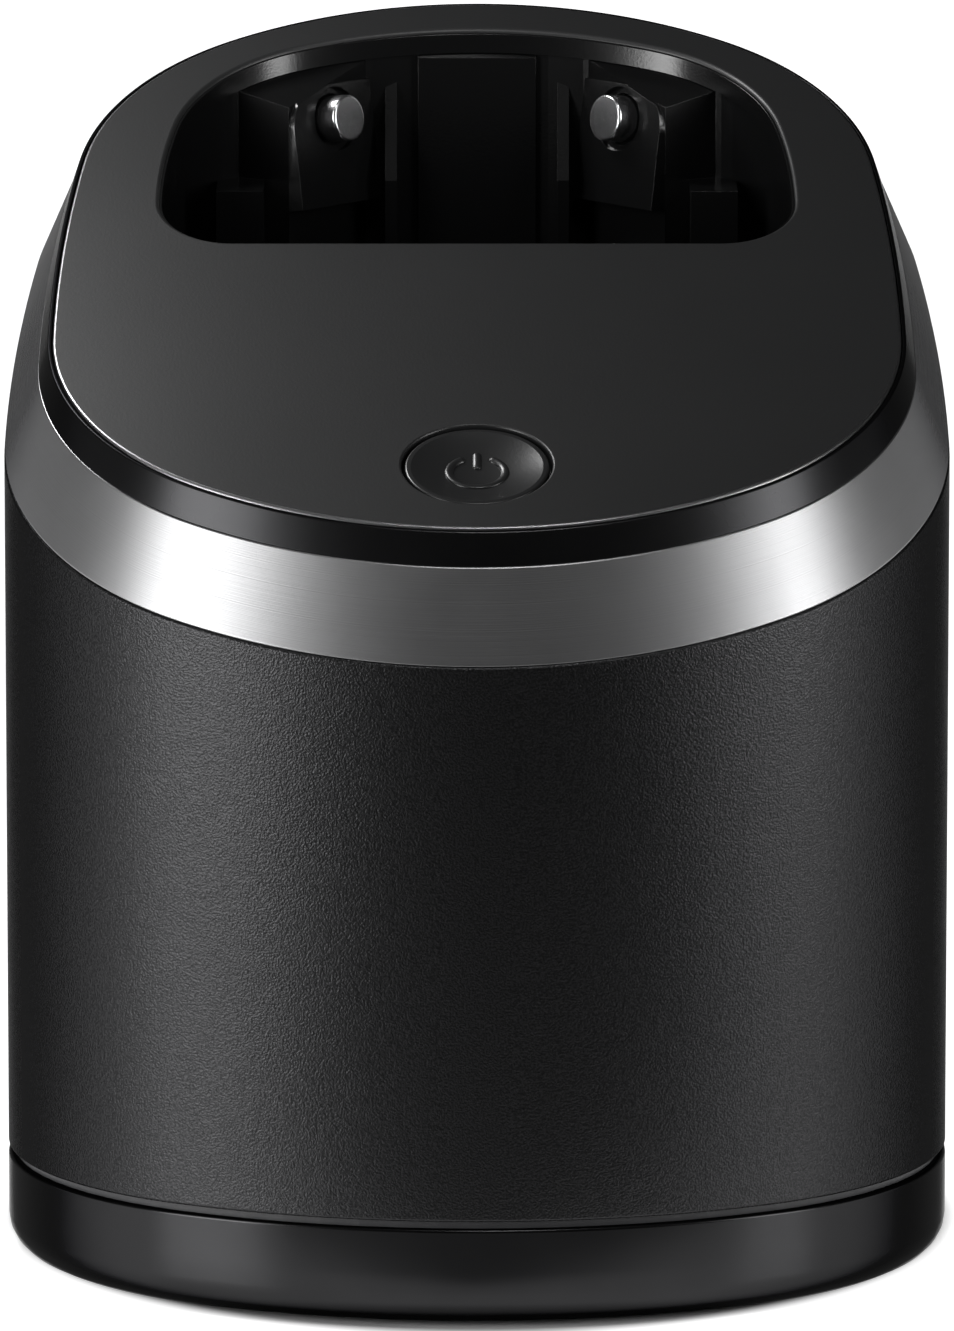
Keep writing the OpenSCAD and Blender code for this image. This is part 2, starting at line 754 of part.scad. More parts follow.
module pump_body() {
  color([0.75, 0.75, 0.72]) translate([0, pump_y, pump_z]) difference() {
    union() {
      cylinder(h = pump_h, r = pump_r);
      for (p = pump_screw_points) translate(p) cylinder(h = pump_h, r = pump_lug_r);
      translate([nozzle_x, 0, outlet_z - pump_z]) rotate([-90, 0, 0]) {
        cylinder(h = pump_r + 5, r = hose_bore_r - run_gap);
        cylinder(h = pump_r - 2, r = hose_r);
      }
    }
    translate([0, 0, -1]) cylinder(h = chamber_h + 1, r = chamber_r);
    translate([0, 0, -1]) cylinder(h = pump_h + 2, r = shaft_r + 0.3);
    translate([0, 0, chamber_h + 0.5]) cylinder(h = 4, r = 3.6);
    translate([nozzle_x, 0, outlet_z - pump_z]) rotate([-90, 0, 0])
      cylinder(h = pump_r + 6, r = 1.1);
    for (p = pump_screw_points)
      translate([p[0], p[1], -1]) cylinder(h = pump_h + 2, r = pump_thread_r + run_gap);
    translate([0, 0, -1]) tube(1.8, chamber_r + 1.3, chamber_r + 0.5);
  }
}

module pump_gasket() {
  color([0.1, 0.1, 0.1]) translate([0, pump_y, pump_z + eps])
    tube(0.75, chamber_r + 1.25, chamber_r + 0.55);
}

module pump_cover() {
  color([0.75, 0.75, 0.72]) translate([0, pump_y, pump_z - cover_t]) difference() {
    union() {
      cylinder(h = cover_t, r = pump_r);
      for (p = pump_screw_points) translate(p) cylinder(h = cover_t, r = pump_lug_r);
      translate([0, 0, -5]) cylinder(h = 5 + eps, r = hose_bore_r - run_gap);
    }
    translate([0, 0, -6]) cylinder(h = cover_t + 8, r = 1.2);
    for (p = pump_screw_points)
      translate([p[0], p[1], -1]) cylinder(h = cover_t + 2, r = pump_thread_r + fine_gap + run_gap);
  }
}

module pump_screws() {
  color("silver") for (p = pump_screw_points)
    translate([p[0], p[1] + pump_y, pump_z - cover_t]) mirror([0, 0, 1])
      screw(pump_thread_r, frame_top - pump_z + cover_t - 1, 2.2, 1.2);
}

module shaft_seal() {
  color([0.1, 0.1, 0.1]) translate([0, pump_y, pump_z + chamber_h + 0.55])
    tube(2.4, 3.55, shaft_r + run_gap);
}

blade_h = 3.4;

module impeller() {
  color([0.85, 0.85, 0.85]) translate([0, pump_y, pump_z + 1]) difference() {
    union() {
      cylinder(h = 0.9, r = chamber_r - 1.2);
      cylinder(h = blade_h + 1.2, r = 2.6);
      for (a = [0:60:300]) rotate([0, 0, a]) translate([1.5, -0.5, 0.9 - eps])
        cube([chamber_r - 3, 1, blade_h]);
    }
    translate([0, 0, -1]) cylinder(h = 8, r = shaft_r);
  }
}

module suction_hose() {
  color([0.85, 0.85, 0.85]) translate([0, pump_y, cup_z + 4.5])
    tube(pump_z - cover_t - cup_z - 4.8, hose_r, hose_bore_r);
}

module drain_pipe() {
  color([0.3, 0.3, 0.31]) translate([0, drain_y, cup_top - 2]) difference() {
    cylinder(h = liner_floor - cup_top + 2, r = drain_r);
    translate([0, 0, -1]) cylinder(h = liner_floor, r = drain_r - 1.5);
  }
}

// The run of the delivery hose, as a round bar: along the pump's outlet, a bend, and up
module hose_run(r, spare) {
  translate([nozzle_x, hose_y0 - spare, outlet_z]) rotate([-90, 0, 0])
    cylinder(h = bend_y - hose_y0 + spare, r = r);
  translate([nozzle_x, bend_y, outlet_z + bend_r]) rotate([0, 90, 0])
    rotate_extrude(angle = 90) translate([bend_r, 0]) circle(r = r);
  translate([nozzle_x, nozzle_y, outlet_z + bend_r])
    cylinder(h = well_z - outlet_z - bend_r - run_gap + spare, r = r);
}

module delivery_hose() {
  color([0.85, 0.85, 0.85]) difference() {
    hose_run(hose_r, 0);
    hose_run(hose_bore_r, 1);
  }
}

/* Button and board */

cap_r = button_hole_r - button_gap;
cap_top = -0.3;
cap_h = 4.2;
dish_r = (pow(cap_r - 0.7, 2) + pow(dish_d, 2)) / (2 * dish_d);
flange_top = -panel_t - fine_gap;
switch_h = 3.5;
stem_end = board_top + switch_h + 0.8 + button_travel + fine_gap;
mark_v = -1.8;                  // the power mark lies a little in front of the dish's middle
mark_r = 3.2;
mark_w = 0.7;
mark_relief = 0.22;

module dish(extra = 0) {
  translate([0, 0, cap_top - dish_d + dish_r]) sphere(r = dish_r - extra, $fn = 200);
}

module power_mark() {
  translate([0, mark_v]) {
    difference() {
      circle(r = mark_r + mark_w / 2);
      circle(r = mark_r - mark_w / 2);
      translate([-1.4, 0]) square([2.8, 2 * mark_r]);
    }
    translate([-mark_w / 2, 0.6]) square([mark_w, mark_r]);
  }
}

module power_button() {
  color([0.02, 0.02, 0.02]) on_deck(0, button_v, 0) {
    difference() {
      union() {
        translate([0, 0, flange_top - 1.2]) cylinder(h = cap_top - flange_top + 1.2, r = cap_r);
        translate([0, 0, flange_top - 1.2]) cylinder(h = 1.2, r = guide_r - seat_gap);
        translate([0, 0, stem_end]) cylinder(h = flange_top - stem_end, r = 2.4);
      }
      dish();
    }
    difference() {
      translate([0, 0, cap_top - dish_d - 1]) linear_extrude(dish_d + 1) power_mark();
      dish(mark_relief);
    }
  }
}

module button_spring() {
  color("silver") on_deck(0, button_v, board_top)
    coil(5.6, flange_top - 1.2 - board_top, 0.35, 4);
}

module button_switch() {
  color([0.15, 0.15, 0.15]) on_deck(0, button_v, board_top) {
    translate([-3, -3, 0]) cube([6, 6, switch_h]);
    translate([0, 0, switch_h - eps]) cylinder(h = 0.8, r = 1.7);
  }
}

module control_board() {
  color([0.05, 0.3, 0.15]) on_deck(0, 0, board_w) difference() {
    union() {
      translate([-board_half, board_v0, 0]) cube([2 * board_half, board_v1 - board_v0, board_t]);
      translate([-10, board_v0 + 2, -1.2]) cube([8, 4, 1.2 + eps]);
      translate([3, board_v0 + 2, -1.2]) cube([5, 4, 1.2 + eps]);
      translate([-18, button_v + 1.5, board_t - eps]) cube([7, 5, 2.4]);
      for (x = [11, 14, 17]) translate([x, button_v, board_t - eps]) cube([1.6, 3, 1.2]);
    }
    for (p = post_points) translate([p[0], p[1], -1]) cylinder(h = board_t + 2, r = post_bore_r + 0.3);
  }
}

module board_screws() {
  color("silver") for (p = post_points) on_deck(p[0], p[1], board_w) mirror([0, 0, 1])
    screw(post_bore_r - 0.05, 5.5, 1.9, 1.1);
}

/* Contacts */

plug_t = 2;

module contact_pin(side) {
  color([0.8, 0.8, 0.82]) at_pin(side) {
    translate([0, 0, -0.5]) cylinder(h = 0.5, r1 = pin_r, r2 = pin_r - 0.45);
    translate([0, 0, pin_stop - eps]) cylinder(h = -pin_stop - 0.5 + 2 * eps, r = pin_r);
    translate([0, 0, pin_stop - pin_flange_t]) cylinder(h = pin_flange_t, r = pin_flange_r);
  }
}

module left_contact_pin() contact_pin(-1);
module right_contact_pin() contact_pin(1);

module contact_spring(side) {
  color("silver") at_pin(side) translate([0, 0, plug_z]) coil(2.4, spring_h, 0.25, 4);
}

module left_contact_spring() contact_spring(-1);
module right_contact_spring() contact_spring(1);

module contact_plugs() {
  color([0.75, 0.6, 0.3]) for (side = [-1, 1]) at_pin(side)
    translate([0, 0, plug_z - plug_t]) cylinder(h = plug_t, r = pin_well_r);
}

lead_r = 0.8;
lead_in = 7.5;                     // inset of the leads' run along the shell
lead_drop = 8;                     // how far below the band's upper edge they run
plug_end = plug_z - plug_t;
pin_back_dir = [
  cos(pin_lift) * sin(pin_turn), cos(pin_lift) * cos(pin_turn), -sin(pin_lift)
];
lead_start = [pin_x, pin_y, pin_z] - (plug_end - eps) * pin_back_dir;
lead_end_v = board_v1 - 4;
lead_end = [
  board_half + 0.5, lead_end_v * cos(slope) - board_w * sin(slope),
  deck_h + lead_end_v * sin(slope) + (board_w + board_t / 2) * cos(slope)
];

module contact_leads() {
  run = [
    for (a = [50:-10:-40])
      let (q = plan_point(a, lead_in)) [q[0], q[1], band_top - lead_drop + q[1] * tan(slope)]
  ];
  color([0.6, 0.1, 0.1]) for (side = [-1, 1]) mirror([side < 0 ? 1 : 0, 0, 0])
    wire(concat([lead_start, lead_start + 1.2 * pin_back_dir, lead_start + [3.8, 0, -2]], run,
      [lead_end]), lead_r);
}

motor_lead_y = pump_y - 4;
motor_lead_top = deck_h + motor_lead_y * tan(slope) + board_w / cos(slope) - 0.35;

module motor_leads() {
  color([0.1, 0.1, 0.1]) for (side = [-1, 1])
    translate([side * 7, motor_lead_y, frame_top + motor_h])
      cylinder(h = motor_lead_top - frame_top - motor_h, r = 0.7, $fn = 24);
}

base_ring();
base_tray();
base_plate();
base_gasket();
rubber_feet();
base_screws();
cartridge_cup();
cartridge_lid();
cartridge_filter();
outer_sleeve();
trim_band();
bezel_ring();
top_panel();
well_liner();
drain_strainer();
spray_nozzle();
drain_pipe();
delivery_hose();
suction_hose();
inner_frame();
frame_screws();
liner_screws();
pump_motor();
pump_body();
pump_cover();
pump_gasket();
shaft_seal();
pump_screws();
motor_shaft();
impeller();
power_button();
button_spring();
button_switch();
control_board();
board_screws();
left_contact_pin();
right_contact_pin();
left_contact_spring();
right_contact_spring();
contact_plugs();
contact_leads();
motor_leads();
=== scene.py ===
"""Looks of a shaver cleaning station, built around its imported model.

The shell is made again as smooth surfaces in the same places as its CAD nodes, with rounded edges
and procedural finishes. The inner pieces keep their CAD shapes and get finishes of their own.
"""

import json
import math

import bpy
import numpy as np
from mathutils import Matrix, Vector
from mathutils.geometry import tessellate_polygon


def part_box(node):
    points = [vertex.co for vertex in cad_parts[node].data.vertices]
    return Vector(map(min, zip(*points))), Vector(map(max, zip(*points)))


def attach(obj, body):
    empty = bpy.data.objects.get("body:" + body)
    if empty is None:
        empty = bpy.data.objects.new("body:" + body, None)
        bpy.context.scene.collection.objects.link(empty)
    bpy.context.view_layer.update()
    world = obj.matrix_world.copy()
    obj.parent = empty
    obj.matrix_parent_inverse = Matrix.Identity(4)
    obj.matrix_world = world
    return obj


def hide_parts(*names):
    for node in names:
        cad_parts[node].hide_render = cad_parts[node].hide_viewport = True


bl_info = {
    "name": "Shaver cleaning station",
    "version": (1, 0, 0),
    "blender": (4, 5, 0),
    "location": "View3D > Sidebar > Station",
    "description": "Builds the shell, button, contacts and finishes of a shaver cleaning station",
    "category": "Add Mesh",
}

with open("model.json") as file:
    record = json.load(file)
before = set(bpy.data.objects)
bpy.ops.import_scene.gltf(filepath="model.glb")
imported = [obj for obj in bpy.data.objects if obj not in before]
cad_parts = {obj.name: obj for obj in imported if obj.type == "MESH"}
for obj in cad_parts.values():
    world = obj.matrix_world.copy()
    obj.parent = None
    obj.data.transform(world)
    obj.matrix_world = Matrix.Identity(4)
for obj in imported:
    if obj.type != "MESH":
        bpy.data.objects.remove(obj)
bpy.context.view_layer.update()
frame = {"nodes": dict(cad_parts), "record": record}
MM = 0.001
BOARD_TOP = -11 * MM  # the board's upper face, square to the panel


# ---------------------------------------------------------------- sizes and colours


def length(name, description, default):
    """A length property, in metres."""
    return bpy.props.FloatProperty(
        name=name, description=description, default=default, unit="LENGTH", precision=5
    )


def turn(name, description, degrees):
    """An angle property, whose default is given in degrees."""
    return bpy.props.FloatProperty(
        name=name, description=description, default=math.radians(degrees), subtype="ANGLE"
    )


def colour(name, description, default):
    """A colour property."""
    return bpy.props.FloatVectorProperty(
        name=name, description=description, default=default, subtype="COLOR", min=0, max=1
    )


class ShellSizes(bpy.types.PropertyGroup):
    """Sizes of the outer shell"""

    half_width: length("Half width", "Half of the width at the widest line", 0.055)
    front_reach: length("Front reach", "From the widest line to the front", 0.045)
    front_corner: length("Front corner", "Radius of the front corners", 0.0412)
    side: length("Side", "Radius of the nearly straight sides", 0.29)
    side_turn: turn("Side turn", "Angle that each side turns through", 7.7)
    rear_corner: length("Rear corner", "Radius of the rear corners", 0.043)
    rear_turn: turn("Rear turn", "Angle at which the rear corners end", 58)
    slope: turn("Slope", "Slope of the panel, from front to back", 21.8)
    deck: length("Panel height", "Height of the panel over the origin", 0.1147)
    bezel: length("Bezel height", "From the band's upper edge to the panel", 0.0036)
    band: length("Band height", "Height of the metal band", 0.0093)
    band_inset: length("Band inset", "How far the band's upper edge lies inside", 0.004)
    panel_inset: length("Panel inset", "How far the panel's edge lies inside", 0.0057)
    panel: length("Panel", "Thickness of the panel", 0.0026)
    seam: length("Seam", "Height of the sleeve's lower edge", 0.01275)
    wall: length("Wall", "Thickness of the sleeve", 0.0022)


class WellSizes(bpy.types.PropertyGroup):
    """Sizes of the well, its pins and the button"""

    front: length("Front edge", "How far the front edge lies behind the origin", 0.0033)
    half_width: length("Half width", "Half of the width of the well", 0.0376)
    front_corner: length("Front corner", "Radius of the front corners", 0.0088)
    side: length("Side", "Radius of the sides", 0.085)
    side_turn: turn("Side turn", "Angle that each side turns through", 11.5)
    rear_corner: length("Rear corner", "Radius of the rear corners", 0.0238)
    rear_turn: turn("Rear turn", "Angle at which the rear corners end", 69)
    pin: length("Pin radius", "Radius of the contact pins", 0.0028)
    pin_aside: length("Pin aside", "How far each pin's face lies from the middle", 0.0153)
    pin_behind: length("Pin behind", "How far each pin's face lies behind the origin", 0.042)
    pin_height: length("Pin height", "Height of the middle of each pin's face", 0.1253)
    pin_turn: turn("Pin turn", "Angle that the pins turn inwards", 50)
    pin_lift: turn("Pin lift", "Angle that the pins look up", 8)
    button: length("Button radius", "Radius of the button's cap", 0.0083)
    button_hole: length("Button hole", "Radius of the hole for the button", 0.0087)
    button_place: length("Button place", "Place of the button along the slope", -0.0466)
    dish: length("Dish depth", "Depth of the dish in the button", 0.0012)


class FinishColours(bpy.types.PropertyGroup):
    """Colours of the finishes"""

    sleeve: colour("Sleeve", "Sanded black of the sleeve", (0.035, 0.035, 0.036))
    gloss: colour("Gloss", "Gloss black of the base, bezel and well", (0.03, 0.03, 0.031))
    panel: colour("Panel", "Satin black of the panel", (0.01, 0.0102, 0.0105))
    band: colour("Band", "Metal of the band", (0.34, 0.34, 0.345))
    pins: colour("Pins", "Metal of the contact pins", (0.62, 0.62, 0.63))


# ---------------------------------------------------------------- outlines


class Outline:
    """A closed outline in plan, the same on both sides, made of tangent arcs.

    Each arc of the right side is (centre x, centre y, radius, first angle, last angle). The point
    at angle a is the centre plus (radius - inset) times (cos a, sin a), and the left side mirrors
    it. Angle -90 degrees is the front and 90 the rear.
    """

    def __init__(self, arcs, spacing):
        rows = []
        for x, y, radius, first, last in arcs:
            steps = max(3, math.ceil(abs(last - first) * radius / spacing))
            angle = first + (last - first) * np.arange(steps) / steps
            row = np.ones((steps, 1))
            rows.append(np.hstack([row * x, row * y, row * radius, angle[:, None]]))
        right = np.vstack(rows)
        x, y, radius, _, last = arcs[-1]
        middle = np.array([[x, y, radius, last]])
        starts_in_middle = abs(arcs[0][0]) < 1e-9
        left = right[:0:-1] if starts_in_middle else right[::-1]
        self.rows = np.vstack([right, middle, left])
        self.side = np.r_[np.ones(len(right) + 1), -np.ones(len(left))]

    def points(self, inset):
        """Plan points at an inset from the outline, one row each."""
        x, y, radius, angle = self.rows.T
        reach = radius - inset
        return np.stack([self.side * (x + reach * np.cos(angle)), y + reach * np.sin(angle)], 1)


def shell_outline(s):
    """The egg-shaped plan: a nose arc, front corner, side, rear corner and rear arc on each side."""
    corner_x = s.half_width - s.front_corner
    nose = (corner_x**2 + s.front_reach**2 - s.front_corner**2) / 2
    nose /= s.front_reach - s.front_corner
    nose_y = nose - s.front_reach
    nose_end = math.atan2(-nose_y, corner_x)
    side_x = s.half_width - s.side
    rear_x = side_x + (s.side - s.rear_corner) * math.cos(s.side_turn)
    rear_y = (s.side - s.rear_corner) * math.sin(s.side_turn)
    rear = s.rear_corner + rear_x / math.cos(s.rear_turn)
    back_y = rear_y - (rear - s.rear_corner) * math.sin(s.rear_turn)
    shift = (s.front_reach - back_y - rear) / 2
    quarter = math.pi / 2
    return Outline(
        [
            (0, nose_y + shift, nose, -quarter, nose_end),
            (corner_x, shift, s.front_corner, nose_end, 0),
            (side_x, shift, s.side, 0, s.side_turn),
            (rear_x, rear_y + shift, s.rear_corner, s.side_turn, s.rear_turn),
            (0, back_y + shift, rear, s.rear_turn, quarter),
        ],
        1.3 * MM,
    )


def well_outline(w):
    """The mouth of the well: a straight front edge, then four tangent arcs on each side."""
    corner = (w.half_width - w.front_corner, w.front + w.front_corner)
    side_x = w.half_width - w.side
    rear_x = side_x + (w.side - w.rear_corner) * math.cos(w.side_turn)
    rear_y = corner[1] + (w.side - w.rear_corner) * math.sin(w.side_turn)
    back = w.rear_corner + rear_x / math.cos(w.rear_turn)
    back_y = rear_y - (back - w.rear_corner) * math.sin(w.rear_turn)
    quarter = math.pi / 2
    return Outline(
        [
            (*corner, w.front_corner, -quarter, 0),
            (side_x, corner[1], w.side, 0, w.side_turn),
            (rear_x, rear_y, w.rear_corner, w.side_turn, w.rear_turn),
            (0, back_y, back, w.rear_turn, quarter),
        ],
        1.1 * MM,
    )


# ---------------------------------------------------------------- surfaces


class Skin:
    """Gathers grids of points into one closed mesh.

    A grid is (around, along, 3), closed around its first axis. Its normal is the cross product of
    its two partial derivatives, so each smooth run keeps its own and edges between runs stay crisp.
    """

    def __init__(self):
        self.points = []
        self.count = 0
        self.corners = []
        self.normals = []

    def add_points(self, points):
        """Adds points and returns the number of the first."""
        first = self.count
        self.points.append(points)
        self.count += len(points)
        return first

    def add_column(self, column):
        """Vertex numbers of one column of a grid. A column that is one point is a pole."""
        if np.ptp(column, axis=0).max() < 1e-9:
            return np.full(len(column), self.add_points(column[:1]))
        return self.add_points(column) + np.arange(len(column))

    def add_faces(self, corners, normals):
        """Adds triangles or quads, as rows of vertex numbers with a normal at each corner."""
        self.corners.append(corners)
        self.normals.append(normals)

    def add_runs(self, grids, closed=True):
        """Adds grids that follow one another, each starting on the last column of the one before.

        Returns the vertex numbers of the first and last columns.
        """
        columns = [[self.add_column(c) for c in np.moveaxis(g[:, :-1], 1, 0)] for g in grids]
        end = columns[0][0] if closed else self.add_column(grids[-1][:, -1])
        for k, grid in enumerate(grids):
            after = columns[k + 1][0] if k + 1 < len(grids) else end
            index = np.stack(columns[k] + [after], 1)
            normal = grid_normals(grid)
            corners = quads_of(index).reshape(-1, 4)
            self.add_faces(corners, quads_of(normal).reshape(-1, 4, 3))
        return columns[0][0], end

    def fill(self, loops, flat, normal):
        """Fills between loops of vertex numbers with triangles. flat holds their plan points."""
        triangles = tessellate_polygon([[Vector((*p, 0)) for p in loop] for loop in flat])
        triangles = np.array(triangles)
        plan = np.vstack(flat)[triangles]
        one, two = plan[:, 1] - plan[:, 0], plan[:, 2] - plan[:, 0]
        upward = one[:, 0] * two[:, 1] - one[:, 1] * two[:, 0]
        wrong = upward * normal[2] < 0
        triangles[wrong] = triangles[wrong][:, ::-1]
        corners = np.concatenate(loops)[triangles]
        self.add_faces(corners, np.broadcast_to(normal, (len(corners), 3, 3)))

    def mesh(self, name):
        """The mesh of everything that was added, with its own normals at every corner."""
        faces = [part for pair in zip(self.corners, self.normals) for part in split_poles(*pair)]
        totals = np.concatenate([np.full(len(c), c.shape[1]) for c, _ in faces])
        corner_list = np.concatenate([c.ravel() for c, _ in faces])
        normal_list = np.concatenate([n.reshape(-1, 3) for _, n in faces])
        mesh = bpy.data.meshes.new(name)
        mesh.vertices.add(self.count)
        mesh.vertices.foreach_set("co", np.vstack(self.points).ravel())
        mesh.loops.add(len(corner_list))
        mesh.loops.foreach_set("vertex_index", corner_list)
        mesh.polygons.add(len(totals))
        mesh.polygons.foreach_set("loop_start", np.r_[0, np.cumsum(totals)[:-1]])
        mesh.update(calc_edges=True)
        mesh.polygons.foreach_set("use_smooth", np.ones(len(totals), bool))
        mesh.normals_split_custom_set(normal_list.tolist())
        return mesh

    def build(self, name, body, finish, *nodes, slot=None):
        """Makes the object, which rides on a body and stands for the CAD nodes that are named."""
        piece = bpy.data.objects.new(name, self.mesh(name))
        piece.data.materials.append(finish)
        bpy.context.scene.collection.objects.link(piece)
        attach(piece, body)
        if nodes:
            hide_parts(*nodes)
        return piece


def split_poles(corners, normals):
    """Quads with two corners on one pole become triangles, and the others stay."""
    if corners.shape[1] == 3:
        return [(corners, normals)]
    before = corners[:, 0] == corners[:, 1]
    after = corners[:, 2] == corners[:, 3]
    whole = ~(before | after)
    parts = [(corners[whole], normals[whole])]
    for mask, keep in ((after, [0, 1, 2]), (before, [0, 2, 3])):
        parts.append((corners[mask][:, keep], normals[mask][:, keep]))
    return [part for part in parts if len(part[0])]


def quads_of(grid):
    """The four corners of each face of a grid that closes around its first axis."""
    after = np.roll(grid, -1, 0)
    return np.stack([grid[:, :-1], after[:, :-1], after[:, 1:], grid[:, 1:]], 2)


def grid_normals(grid):
    """Unit normals of a grid: the cross product of its derivatives around and along."""
    around = np.roll(grid, -1, 0) - np.roll(grid, 1, 0)
    along = np.gradient(grid, axis=1)
    normal = np.cross(around, along)
    size = np.linalg.norm(normal, axis=2, keepdims=True)
    for pole, beside in ((0, 1), (-1, -2)):
        if size[:, pole].max() < 1e-12:
            normal[:, pole] = normal[:, beside].mean(0)
            size[:, pole] = np.linalg.norm(normal[:, pole], axis=1, keepdims=True)
    return normal / np.maximum(size, 1e-20)


def rounded(corner, before, after, radius, steps=5):
    """Points of a fillet: where the arc of a radius touches the two sides that meet in a corner."""
    corner, before, after = (np.array(p, float) for p in (corner, before, after))
    one = (before - corner) / np.linalg.norm(before - corner)
    two = (after - corner) / np.linalg.norm(after - corner)
    half = math.acos(np.clip(one @ two, -1, 1)) / 2
    middle = (one + two) / np.linalg.norm(one + two)
    centre = corner + middle * radius / math.sin(half)
    start = corner + one * radius / math.tan(half) - centre
    end = corner + two * radius / math.tan(half) - centre
    t = np.linspace(0, 1, steps + 1)[:, None]
    angle = math.pi - 2 * half
    arc = np.sin((1 - t) * angle) * start + np.sin(t * angle) * end
    return centre + arc / math.sin(angle)


def profile_run(corners, radii):
    """A closed profile of (inset, height, sloping share): straight sides joined by fillets."""
    arcs = []
    for k, (corner, radius) in enumerate(zip(corners, radii)):
        before, after = corners[k - 1], corners[(k + 1) % len(corners)]
        arc = rounded(corner[:2], before[:2], after[:2], radius)
        arcs.append(np.hstack([arc, np.full((len(arc), 1), float(corner[2]))]))
    run = []
    for k, arc in enumerate(arcs):
        follow = arcs[(k + 1) % len(arcs)]
        gap = np.linspace(0, 1, 4)[1:-1, None]
        run += [arc, arc[-1] * (1 - gap) + follow[0] * gap]
    return np.vstack(run)


def swept_ring(skin, outline, profile, slope):
    """Carries a closed profile of (inset, level height, sloping share) round an outline.

    The point is the outline's point at that inset, and its height is the level height plus the
    sloping share times y times the tangent of the slope.
    """
    profile = np.vstack([profile, profile[:1]])
    plan = np.stack([outline.points(inset) for inset in profile[:, 0]], 1)
    height = profile[:, 1] + profile[:, 2] * plan[..., 1] * math.tan(slope)
    grid = np.concatenate([plan, height[..., None]], 2)
    around = np.roll(grid, -1, 0) - np.roll(grid, 1, 0)
    along = np.roll(grid[:, :-1], -1, 1) - np.roll(grid[:, :-1], 1, 1)
    along = np.concatenate([along, along[:, :1]], 1)
    normal = np.cross(around, along)
    normal /= np.linalg.norm(normal, axis=2, keepdims=True)
    columns = [skin.add_column(c) for c in np.moveaxis(grid[:, :-1], 1, 0)]
    index = np.stack(columns + columns[:1], 1)
    skin.add_faces(quads_of(index).reshape(-1, 4), quads_of(normal).reshape(-1, 4, 3))


def turned(profile, steps=96):
    """Turns a profile of (radius, height) once about z, from the foot outwards and up."""
    angle = 2 * math.pi * np.arange(steps) / steps
    circle = np.stack([np.cos(angle), np.sin(angle)], 1)
    plan = circle[:, None] * profile[None, :, :1]
    height = np.broadcast_to(profile[None, :, 1:], (steps, len(profile), 1))
    return np.concatenate([plan, height], 2)


def sides_of(section):
    """The straight sides of a section, each as its two end points."""
    return [section[k : k + 2] for k in range(len(section) - 1)]


def placed(grid, origin, x_axis, z_axis):
    """A grid in the frame that has this origin, x axis and z axis."""
    z_axis = np.array(z_axis) / np.linalg.norm(z_axis)
    x_axis = np.array(x_axis) / np.linalg.norm(x_axis)
    basis = np.stack([x_axis, np.cross(z_axis, x_axis), z_axis])
    return np.array(origin) + grid @ basis


def deck_place(s, x=0.0, along=0.0, above=0.0):
    """The point that lies at x, along the slope and above the panel."""
    up, out = math.sin(s.slope), math.cos(s.slope)
    return (x, along * out - above * up, s.deck + along * up + above * out)


def deck_normal(s):
    """The unit normal of the panel."""
    return (0.0, -math.sin(s.slope), math.cos(s.slope))


# ---------------------------------------------------------------- finishes


class Field:
    """A socket on which plain arithmetic adds Math nodes."""

    def __init__(self, finish, socket):
        self.finish = finish
        self.socket = socket

    def math(self, operation, *values):
        """A Math node on this value and others."""
        return self.finish.node("ShaderNodeMath", {"operation": operation}, self, *values)

    def __add__(self, other):
        return self.math("ADD", other)

    def __sub__(self, other):
        return self.math("SUBTRACT", other)

    def __mul__(self, other):
        return self.math("MULTIPLY", other)

    def __truediv__(self, other):
        return self.math("DIVIDE", other)

    def __rsub__(self, other):
        return self.finish.node("ShaderNodeMath", {"operation": "SUBTRACT"}, other, self)

    __radd__ = __add__
    __rmul__ = __mul__

    def between(self, low, high):
        """0 below low, 1 above high and smooth between them."""
        return self.finish.node(
            "ShaderNodeMapRange", {"interpolation_type": "SMOOTHSTEP"}, self, low, high
        )


